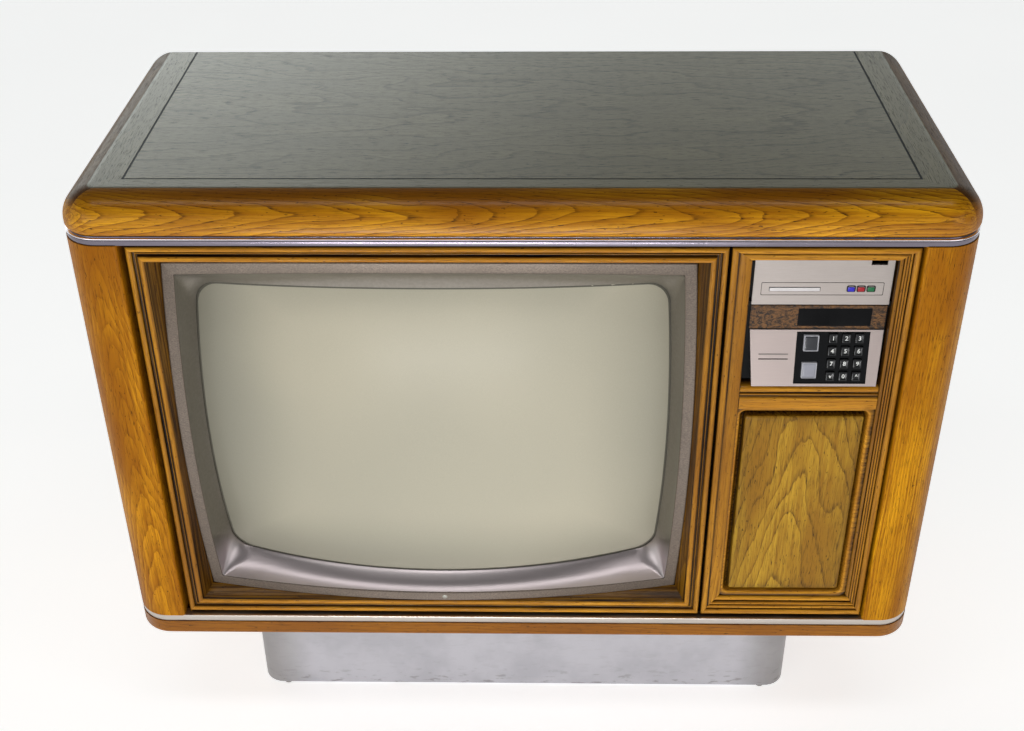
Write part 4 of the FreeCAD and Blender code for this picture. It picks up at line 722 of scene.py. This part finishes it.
def lower_panel():
    """The sunk panel: a rounded cove with a lit edge, a channel, and the raised figured field."""
    low, high = box_mm("lower_panel")
    left, right, foot, head = low.x + PANEL_LAP, high.x - PANEL_LAP, low.z + PANEL_LAP, high.z - PANEL_LAP
    # The last number of each step is darkening from glazing and painted shade, deepest down the cove and in
    # the channel.
    cove = [(-4.0, 16.0, 9.0, 1.0), (-4.0, 3.2, 9.0, 1.0), (-0.6, 2.4, 8.4, 0.5), (0.4, 2.4, 8.0, 0.1),
            (1.6, 3.2, 7.4, 0.0), (2.4, 5.0, 6.6, 0.3), (3.2, 9.0, 6.0, 0.55), (4.4, 13.4, 5.4, 0.7),
            (5.6, 15.4, 5.0, 0.8), (7.0, 15.8, 5.0, 0.9)]
    loops, glaze = stepped_loops((left, right, foot, head), cove, SCREEN_LOW.y)
    stacked("panel_recess", loops, "moulding_x", "cabinet", "moulding", glaze=glaze, sharp=60.0,
            node="lower_panel")
    # The last number of each step is darkening from glazing and painted shade, fading from the field's edge
    # inwards.
    raised = [(-2.6, 15.7, 3.0, 1.0), (-2.2, 12.0, 3.0, 1.0), (-1.2, 8.0, 3.0, 0.7), (-0.6, 6.2, 3.2, 0.35),
              (0.6, 5.3, 3.4, 0.3), (2.2, 5.0, 3.6, 0.32), (9.0, 5.0, 3.6, 0.14), (26.0, 5.0, 3.6, 0.0)]
    field = (left + 10.0, right - 7.0, foot + 6.0, head - 12.0)
    loops, glaze = stepped_loops(field, raised, SCREEN_LOW.y)
    stacked("panel_field", loops, "panel", "cabinet", "panel_veneer", glaze=glaze, node="lower_panel")


# ---- screen mask and tube

GLASS_CURVE = 900.0
MASK_CURVE = 2031.0
SIDE_STEPS = 18
CORNER_STEPS = 7
RIM_WIDTH = 12.5
OPENING = {"half_width": 261.0, "half_height": 188.5, "bow_width": 7.0, "bow_height": 12.5}
OPENING_DROP = -4.0


def bowed_loop(half_width, half_height, bow_width, bow_height, radius, drop, depth_at):
    """A rounded rectangle whose sides bow outwards, at a depth given by a function of x and z."""
    edges = (-half_width, half_width, -half_height, half_height)
    points = []
    for point in rounded_loop(edges, 0.0, radius, 0.0, CORNER_STEPS, SIDE_STEPS):
        share_x = min(1.0, abs(point.x) / half_width)
        share_z = min(1.0, abs(point.z) / half_height)
        x = SCREEN_MID.x + point.x * (1 + bow_width / half_width * (1 - share_z ** 2))
        z = SCREEN_MID.z + drop + point.z * (1 + bow_height / half_height * (1 - share_x ** 2))
        points.append(Vector((x, depth_at(x, z), z)))
    return points


def mask_plane(offset):
    """The mask's domed rim, deepest at its corners: depth at x, z, set back by an offset."""
    low, high = box_mm("screen_mask")
    half_height = (high.z - low.z) / 2

    def depth_at(x, z):
        up = (z - SCREEN_MID.z) / half_height
        return low.y + (x - SCREEN_MID.x) ** 2 / (2 * MASK_CURVE) * (0.36 + 0.64 * up ** 2) + offset

    return depth_at


def glass_plane(offset):
    """The tube's domed face: depth at x, z, set back by an offset."""
    foremost = box_mm("picture_tube_face")[0].y

    def depth_at(x, z):
        reach = (x - SCREEN_MID.x) ** 2 + (z - SCREEN_MID.z) ** 2
        return foremost + GLASS_CURVE - math.sqrt(GLASS_CURVE ** 2 - reach) + offset

    return depth_at


def opening_loop(grow, offset, radius=22.0):
    """The edge of the mask's opening, just in front of the glass."""
    return bowed_loop(OPENING["half_width"] + grow, OPENING["half_height"] + grow, OPENING["bow_width"],
                      OPENING["bow_height"], radius, OPENING_DROP, glass_plane(offset))


def mixed(first, second, share):
    return first + (second - first) * share


def funnel_loop(mouth, share, depth_share, radius):
    """A loop on the funnel's wall, part of the way from the rim's mouth to the opening."""
    rim, glass = mask_plane(1.2), glass_plane(-1.2)
    sizes = [mixed(mouth[key], OPENING[key], share) for key in OPENING]
    return bowed_loop(*sizes, radius, OPENING_DROP * share,
                      lambda x, z: mixed(rim(x, z), glass(x, z), depth_share))


def screen_mask():
    """The metallic mask: a flat rim that follows a drum, and a funnel back to the glass."""
    low, high = box_mm("screen_mask")
    side_bow = 6.5
    bow = 10.8
    half_width = (high.x - low.x) / 2
    half_height = (high.z - low.z) / 2 - bow

    def rim_loop(inset, offset):
        return bowed_loop(half_width - inset, half_height - inset, side_bow, bow, 1.2, 0.0,
                          mask_plane(offset))

    rim = [rim_loop(*step) for step in (
        (1.0, 7.0), (0.0, 6.0), (0.0, 0.9), (0.6, 0.2), (1.6, 0.0), (RIM_WIDTH - 1.2, 0.0),
        (RIM_WIDTH - 0.5, -0.35), (RIM_WIDTH, 0.0), (RIM_WIDTH + 0.6, 1.6), (RIM_WIDTH + 0.2, 7.0))]
    stacked("screen_mask_rim", rim, "mask_rim", "cabinet", "mask_silver", joined=True, sharp=50.0,
            node="screen_mask")
    inset = RIM_WIDTH + 0.6
    mouth = {"half_width": half_width - inset, "half_height": half_height - inset, "bow_width": side_bow,
             "bow_height": bow}
    walls = [(0.0, 0.0, 3.0), (0.06, 0.10, 7.0), (0.18, 0.27, 13.0), (0.32, 0.43, 19.0),
             (0.48, 0.58, 24.0), (0.64, 0.72, 27.0), (0.78, 0.84, 27.0), (0.90, 0.93, 25.0),
             (0.97, 0.975, 23.0), (1.0, 1.0, 22.0)]
    funnel = [funnel_loop(mouth, *wall) for wall in walls]
    funnel += [opening_loop(1.2, 1.0), opening_loop(6.0, 2.0, 28.0)]
    thickness = Vector((0.0, 3.0, 0.0))
    outside = [[point + thickness for point in funnel_loop(mouth, *wall)]
               for wall in ((0.6, 0.8, 26.0), (-0.05, 0.1, 3.0))]
    stacked("screen_mask_funnel", funnel + outside, "mask", "cabinet", "mask_silver", joined=True,
            sharp=60.0, node="screen_mask")
    border = [opening_loop(*edge) for edge in ((3.0, -0.1), (-2.2, -0.1), (-2.2, 0.5), (3.0, 0.5))]
    stacked("tube_border", border, "tube_border", "cabinet", "black_moulded", joined=True)
    screw_head("mask_screw", (SCREEN_MID.x + 3.0, low.y, SCREEN_LOW.z + 24.6), 3.4)


def picture_tube():
    """The tube's glass panel: a shallow dome with a rim and a hollow back."""
    low, high = box_mm("picture_tube_face")
    half_width = (high.x - low.x) / 2
    half_height = (high.z - low.z) / 2
    corner = 55.0
    wall = 12.0

    def outline(share, offset):
        radius = max(0.3, corner * share)
        return bowed_loop(half_width * share, half_height * share, 0.0, 0.0, radius, 0.0,
                          glass_plane(offset))

    def sleeve(inset):
        edges = (low.x, high.x, low.z, high.z)
        return rounded_loop(edges, inset, corner - inset, high.y, CORNER_STEPS, SIDE_STEPS)

    dome = (0.004, 0.12, 0.25, 0.38, 0.5, 0.6, 0.7, 0.8, 0.88, 0.95, 1.0)
    loops = [outline(share, 0.0) for share in dome] + [sleeve(0.0), sleeve(wall)]
    loops += [outline(share, wall) for share in (0.95, 0.7, 0.4, 0.02)]
    stacked("picture_tube_glass", loops, "glass", "cabinet", "screen_glass", sharp=50.0,
            node="picture_tube_face")


# ---- small parts

def screw_head(name, centre, radius):
    """A domed screw head with a cross recess, facing the front."""
    x, y, z = centre
    count = 20
    rings = [(1.0, 0.8), (1.0, 0.2), (0.86, -0.35), (0.6, -0.7), (0.3, -0.85)]
    loops = []
    for share, depth in rings:
        loop = []
        for index in range(count):
            turn = 2 * math.pi * index / count
            reach = radius * share
            if share < 0.5 and index % 5:
                reach *= 0.45
            loop.append((x + reach * math.cos(turn), y + depth, z + reach * math.sin(turn)))
        loops.append(loop)
    loops.append([(mixed(x, px, 0.7), y + 0.1, mixed(z, pz, 0.7)) for px, _, pz in loops[-1]])
    stacked(name, loops, "plated_steel", "cabinet", "steel")


def plan_path(half_width, front, back, corner, steps=14):
    """The case's outline in plan from the back left, round the front, to the back right."""
    path = [(-half_width, back, (-1.0, 0.0))]
    for centre_x, start in ((-half_width + corner, 180.0), (half_width - corner, 270.0)):
        for step in range(steps + 1):
            turn = math.radians(start + 90.0 * step / steps)
            normal = (math.cos(turn), math.sin(turn))
            path.append((centre_x + corner * normal[0], front + corner + corner * normal[1], normal))
    path.append((half_width, back, (1.0, 0.0)))
    return path


def trim(name, node, profile, finish, slot):
    """A strip along the front and sides from a section of insets and shares of its height."""
    low, high = box_mm(node)
    corner = 41.0
    loops = [[(x - normal[0] * inset, y - normal[1] * inset, mixed(low.z, high.z, share))
              for inset, share in profile] for x, y, normal in plan_path(high.x, low.y, high.y, corner)]
    stacked(name, loops, finish, "cabinet", slot, sharp=25.0, node=node)


def trims():
    bead = [(6.0, 0.86), (0.9, 0.86), (0.2, 0.83), (0.0, 0.78), (0.2, 0.73), (0.9, 0.70), (6.0, 0.70)]
    upper = [(14.0, 1.0), (3.4, 1.0), (3.0, 0.98), (3.0, 0.66), (2.6, 0.62), (1.0, 0.60), (0.8, 0.5),
             (0.8, 0.12), (1.1, 0.05), (1.8, 0.0), (14.0, 0.0)]
    lower = [(14.0, 1.0), (2.0, 1.0), (1.2, 0.97), (0.9, 0.90), (0.8, 0.72), (0.8, 0.14), (1.1, 0.06),
             (1.8, 0.0), (14.0, 0.0)]
    trim("upper_trim_strip", "upper_trim", upper, "bright_trim", "bright_trim")
    # The bead takes the brighter copy of the trim's metal, a painted highlight.
    trim("upper_trim_bead", "upper_trim", bead, "bead_highlight", "bright_trim")
    trim("lower_trim_strip", "lower_trim", lower, "satin_trim", "satin_trim")


def inlay_strips():
    """The black stringing that fills the groove round three sides of the top's field."""
    low, high = box_mm("top_field")
    wide = 2.5
    deep = 1.2
    sunk = 0.12
    runs = {"left": (low.x, low.y, low.x + wide, high.y), "right": (high.x - wide, low.y, high.x, high.y),
            "front": (low.x + wide, low.y, high.x - wide, low.y + wide)}
    for side, (x0, y0, x1, y1) in runs.items():
        block(f"inlay_{side}", (x0, y0, high.z - deep), (x1, y1, high.z - sunk), "inlay", "cabinet",
              "black_moulded", edge=0.1, segments=1)


# ---- control module

TILT = math.radians(9.5)
SLOPE_UP = Vector((0.0, math.sin(TILT), math.cos(TILT)))
SLOPE_OUT = Vector((0.0, -math.cos(TILT), math.sin(TILT)))
KEY_DEPTH = 6.4
KEY_FLANGE = 1.0
FLANGE_THICK = 0.8
FIGURES = {**{f"key_{digit}": digit for digit in "1234567890"}, "key_down": "v", "key_up": "^"}


def key_face(node):
    """The middle of a key's face, and its half width and half height, from its box."""
    low, high = box_mm(node)
    half_width = (high.x - low.x) / 2 - KEY_FLANGE
    skirt = FLANGE_THICK * math.cos(TILT) + KEY_DEPTH * math.sin(TILT)
    half_height = (high.z - low.z - skirt) / (2 * math.cos(TILT))
    face = Vector(((low.x + high.x) / 2, low.y + half_height * math.sin(TILT),
                   high.z - half_height * math.cos(TILT)))
    return face, half_width, half_height


def slope_loops(node, steps):
    """Rounded loops on the keypad's slope: insets, rises and corner radii round a key's face."""
    face, half_width, half_height = key_face(node)
    edges = (-half_width, half_width, -half_height, half_height)
    return [[face + Vector((point.x, 0.0, 0.0)) + SLOPE_UP * point.z + SLOPE_OUT * max(rise, -KEY_DEPTH)
             for point in rounded_loop(edges, inset, radius, 0.0, steps=3)] for inset, rise, radius in steps]


def key_cap(name, figure):
    """A push key: softened cap with a dished face, and its figure."""
    steps = [(0.0, -9.0, 1.0), (0.0, -0.9, 1.0), (0.15, -0.4, 1.0), (0.6, -0.05, 0.9), (1.3, 0.0, 0.8),
             (2.0, -0.28, 0.8), (3.4, -0.40, 0.8)]
    stacked(f"{name}_cap", slope_loops(name, steps), "key", name, "key_black", sharp=45.0, node=name)
    add_figure(f"{name}_figure", figure, key_face(name)[0] + SLOPE_OUT * -0.36, name)


def button_cap(name, lens, slot):
    """A push button: a grey frame round a tinted lens."""
    frame_steps = [(0.0, -9.0, 1.0), (0.0, -0.8, 1.0), (0.3, -0.2, 1.0), (0.8, 0.0, 0.9), (1.3, -0.2, 0.8),
                   (1.5, -0.7, 0.8), (1.5, -9.0, 0.8)]
    lens_steps = [(1.3, -6.0, 0.8), (1.3, -0.9, 0.8), (1.7, -0.6, 0.8), (3.0, -0.45, 0.8)]
    stacked(f"{name}_frame", slope_loops(name, frame_steps), "button_rim", name, slot, joined=True,
            node=name)
    stacked(f"{name}_lens", slope_loops(name, lens_steps), lens, name, slot)


def add_figure(name, text, centre, body):
    """A raised figure on the keypad's slope."""
    curve = bpy.data.curves.new(name + "_outline", "FONT")
    curve.body = text
    curve.align_x = "CENTER"
    curve.align_y = "CENTER"
    curve.size = 6.8 * MM
    curve.extrude = 0.06 * MM
    curve.offset = 0.04 * MM
    curve.resolution_u = 3
    holder = bpy.data.objects.new(name + "_holder", curve)
    bpy.context.scene.collection.objects.link(holder)
    bpy.context.view_layer.update()
    mesh = bpy.data.meshes.new_from_object(holder.evaluated_get(bpy.context.evaluated_depsgraph_get()))
    bpy.data.objects.remove(holder)
    turn = Matrix((Vector((1.0, 0.0, 0.0)), SLOPE_UP, SLOPE_OUT)).transposed().to_4x4()
    mesh.transform(Matrix.Translation(centre * MM) @ turn)
    mesh.name = name
    mesh.materials.clear()
    place_mesh(name, mesh, "figure", body)


def keypad():
    for name, figure in FIGURES.items():
        key_cap(name, figure)
    button_cap("power_button", "smoke", "button_smoke")
    button_cap("recall_button", "pale", "button_grey")


def door_piece(name, edges, steps, finish, slot, corner_steps=3, joined=False):
    """A small piece on the door's face, through insets, rises and corner radii within its edges."""
    front = box_mm("control_door")[0].y
    loops = [rounded_loop(edges, inset, radius, front - rise, corner_steps) for inset, rise, radius in steps]
    stacked(name, loops, finish, "control_door", slot, joined=joined)


def door_line(name, edges, line, proud, radius, corner_steps):
    """A thin raised outline on the door's face."""
    steps = [(0.0, -0.2, radius), (0.0, proud, radius), (line, proud, radius), (line, -0.2, radius)]
    door_piece(name, edges, steps, "black", "black_moulded", corner_steps, joined=True)


def door_details():
    """The door's nameplate frame, its plain bar, and three colour chips under arched outlines."""
    low, high = box_mm("control_door")
    left, right = low.x + 2.2, high.x - 1.9
    plate_left, plate_foot = left + 8.5, low.z + 11.5
    plate_height = 15.5
    door_line("nameplate_line", (plate_left, right - 8.0, plate_foot, plate_foot + plate_height), 0.5, 0.15,
              1.2, 3)
    chip_wide, chip_tall, pitch = 7.0, 5.0, 10.4
    foot = plate_foot + (plate_height - chip_tall) / 2 - 0.4
    for index, tint in enumerate(("blue", "red", "green")):
        x = right - 45.6 + pitch * index
        door_piece(f"colour_chip_{index}", (x, x + chip_wide, foot, foot + chip_tall),
                   [(0.0, -0.2, 0.8), (0.0, 0.5, 0.8), (0.5, 0.75, 0.6)], f"{tint}_chip", "silver_fascia")
        arch = (x - 1.2, x + chip_wide + 1.2, foot - 0.7, foot + chip_tall + 1.9)
        door_line(f"chip_outline_{index}", arch, 1.0, 0.35, 1.6, 4)
    bar_left, bar_foot = plate_left + 9.0, plate_foot + 5.2
    for part, finish, grow, proud in (("edge", "black", 0.5, 0.25), ("bar", "nameplate_bar", 0.0, 0.7)):
        block(f"nameplate_{part}", (bar_left - grow, low.y - proud, bar_foot - grow),
              (bar_left + 53.0 + grow, low.y + 0.2, bar_foot + 4.2 + grow), finish, "control_door",
              "silver_fascia", edge=0.2)


def window_ribs():
    """Fine upright ribs at the left of the dark display window."""
    low, high = box_mm("display_window")
    pitch, wide, short = 2.6, 1.2, 1.6
    for index in range(11):
        x = low.x + 6.0 + pitch * index
        block(f"window_rib_{index}", (x, low.y - 0.25, low.z + short),
              (x + wide, low.y + 0.2, high.z - short), "gloss_black", "cabinet", "dark_window", edge=0.1,
              segments=1)


def keypad_rules():
    """Two thin rules where a maker would letter the keypad."""
    low, high = box_mm("keypad_fascia")
    plate_thick = 2.5
    left, right = low.x + 11.0, low.x + 43.0
    top = Vector((0.0, high.y - plate_thick * math.cos(TILT), high.z))
    for index, (drop, thick, finish) in enumerate(((29.5, 1.6, "rule"), (35.0, 1.2, "black"))):
        outline = ((left, 0.0), (right, 0.0), (right, thick), (left, thick))
        loops = [[top + Vector((x, 0.0, 0.0)) + SLOPE_UP * (up - drop) + SLOPE_OUT * rise
                  for x, up in outline] for rise in (-0.2, 0.12)]
        stacked(f"keypad_rule_{index}", loops, finish, "cabinet", "black_moulded")


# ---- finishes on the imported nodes

NODE_FINISHES = {
    "pedestal": ("pedestal_shell",), "pedestal_board": ("pedestal_board",), "board": ("bottom_board",),
    "glide": ("floor_glides", "swivel_balls"), "baffle": ("front_baffle",), "cover": ("back_cover",),
    "side_left": ("side_panel_left",), "side_right": ("side_panel_right",), "field": ("top_field",),
    "post_left": ("corner_post_left",), "post_right": ("corner_post_right",),
    "rail_front": ("top_rail_front",), "rail_left": ("top_rail_left",), "rail_right": ("top_rail_right",),
    "tube_coating": ("picture_tube_funnel",), "winding": ("deflection_yoke",), "tape": ("degaussing_coil",),
    "plated_steel": ("swivel_lower_plate", "swivel_upper_plate", "implosion_band", "electron_gun",
                     "chassis_frame", "tuner_module", "cabinet_screws"),
    "card": ("neck_board", "main_board", "control_board"),
    "black": ("flyback_transformer", "speaker", "rear_terminals", "control_housing"),
    "silver_fascia": ("control_door",), "burl": ("display_fascia",), "gloss_black": ("display_window",),
    "smoke": ("brightness_knob", "color_knob", "tint_knob"),
}


def keypad_well():
    """The sunk well's left, right, foot and head on the keypad's plate."""
    low, high = box_mm("keypad_fascia")
    foot, head = (high.z - drop * math.cos(TILT) for drop in (63.8, 2.1))
    return low.x + 50.8, high.x - 13.8, foot, head


def dress_nodes():
    dressed = {node: FINISHES[finish] for finish, nodes in NODE_FINISHES.items() for node in nodes}
    dressed["keypad_fascia"] = keypad_plate(keypad_well())
    for node, material in dressed.items():
        materials = NODES[node].data.materials
        materials.clear()
        materials.append(material)


# ---- floor, light and camera

def floor():
    finish = Finish("floor_finish", {"Roughness": 0.9, "Specular IOR Level": 0.1, "Emission Strength": 0.65,
                                     "Emission Color": (1.0, 1.0, 1.0, 1.0)})
    mottle = finish.ramp(finish.noise(finish.spot, 2.0, detail=2.0), 0.3, 0.7)
    finish.paint({"Base Color": finish.blend(mottle, colour(246, 246, 246), colour(250, 250, 250))})
    mesh = bpy.data.meshes.new("studio_floor")
    reach = 14.0
    corners = [(-reach, -reach, 0.0), (reach, -reach, 0.0), (reach, reach, 0.0), (-reach, reach, 0.0)]
    mesh.from_pydata(corners, [], [(0, 1, 2, 3)])
    mesh.materials.append(finish.material)
    ground = bpy.data.objects.new("studio_floor", mesh)
    bpy.context.scene.collection.objects.link(ground)


def area_light(name, place, target, size, power):
    lamp = bpy.data.lights.new(name, "AREA")
    lamp.shape = "RECTANGLE"
    lamp.size, lamp.size_y = size
    lamp.energy = power
    holder = bpy.data.objects.new(name, lamp)
    holder.location = place
    holder.rotation_mode = "QUATERNION"
    holder.rotation_quaternion = (Vector(target) - Vector(place)).to_track_quat("-Z", "Y")
    bpy.context.scene.collection.objects.link(holder)


def lighting():
    """Two softboxes and a low strip in front, and a long strip overhead."""
    middle = (cad_low + cad_high) / 2
    area_light("front_left_softbox", (-2.6, -3.4, 1.5), middle, (2.2, 1.6), 12.5)
    area_light("front_right_softbox", (2.6, -3.2, 1.3), middle, (2.2, 1.6), 12.5)
    area_light("overhead_strip", (0.0, -1.0, 3.2), middle, (2.8, 0.5), 12.0)
    area_light("low_front_strip", (-0.1, -1.62, 0.12), (0.0, FRONT * MM, TOP * MM), (0.9, 0.08), 7.0)


def sky():
    """A sky whose strength steps from one level to another across each axis."""
    world = bpy.data.worlds.new("studio_world")
    bpy.context.scene.world = world
    world.use_nodes = True
    tree = NodeTree(world.node_tree)
    way = tree.node("ShaderNodeTexCoord").outputs["Generated"]
    parts = tree.node("ShaderNodeSeparateXYZ", {"Vector": way}).outputs
    levels = {"Z": (0.25, 0.62, 1.1, 0.12), "X": (-0.30, 0.12, 2.1, 0.85), "Y": (0.3, 0.8, 0.3, 1.0)}
    upright, sideways, inwards = (tree.ramp(parts[axis], *steps) for axis, steps in levels.items())
    background = tree.nodes["Background"].inputs
    tree.feed(background["Strength"], tree.times(tree.times(upright, sideways), inwards))
    tree.feed(background["Color"], (0.95, 1.0, 0.97, 1.0))


def camera():
    """The viewpoint: above the front, looking down and a little to the left."""
    yaw = math.radians(-1.415)
    pitch = math.radians(33.098)
    roll = math.radians(-0.5965)
    view = Vector((math.sin(yaw) * math.cos(pitch), math.cos(yaw) * math.cos(pitch), -math.sin(pitch)))
    level = Vector((math.cos(yaw), -math.sin(yaw), 0.0))
    rise = level.cross(view)
    right = level * math.cos(roll) + rise * math.sin(roll)
    up = rise * math.cos(roll) - level * math.sin(roll)
    lens = bpy.data.cameras.new("studio_camera")
    lens.sensor_width = 36.0
    lens.lens = 48.42
    holder = bpy.data.objects.new("studio_camera", lens)
    holder.matrix_world = (Matrix.Translation((0.0222, -1.5067, 1.3831))
                           @ Matrix((right, up, -view)).transposed().to_4x4())
    bpy.context.scene.collection.objects.link(holder)
    bpy.context.scene.camera = holder
    bpy.context.scene.view_settings.view_transform = "Standard"


# ---- assembly

dress_nodes()
screen_frame()
control_surround()
middle_rail()
lower_panel()
screen_mask()
picture_tube()
trims()
inlay_strips()
keypad()
door_details()
window_ribs()
keypad_rules()
floor()
lighting()
sky()
camera()
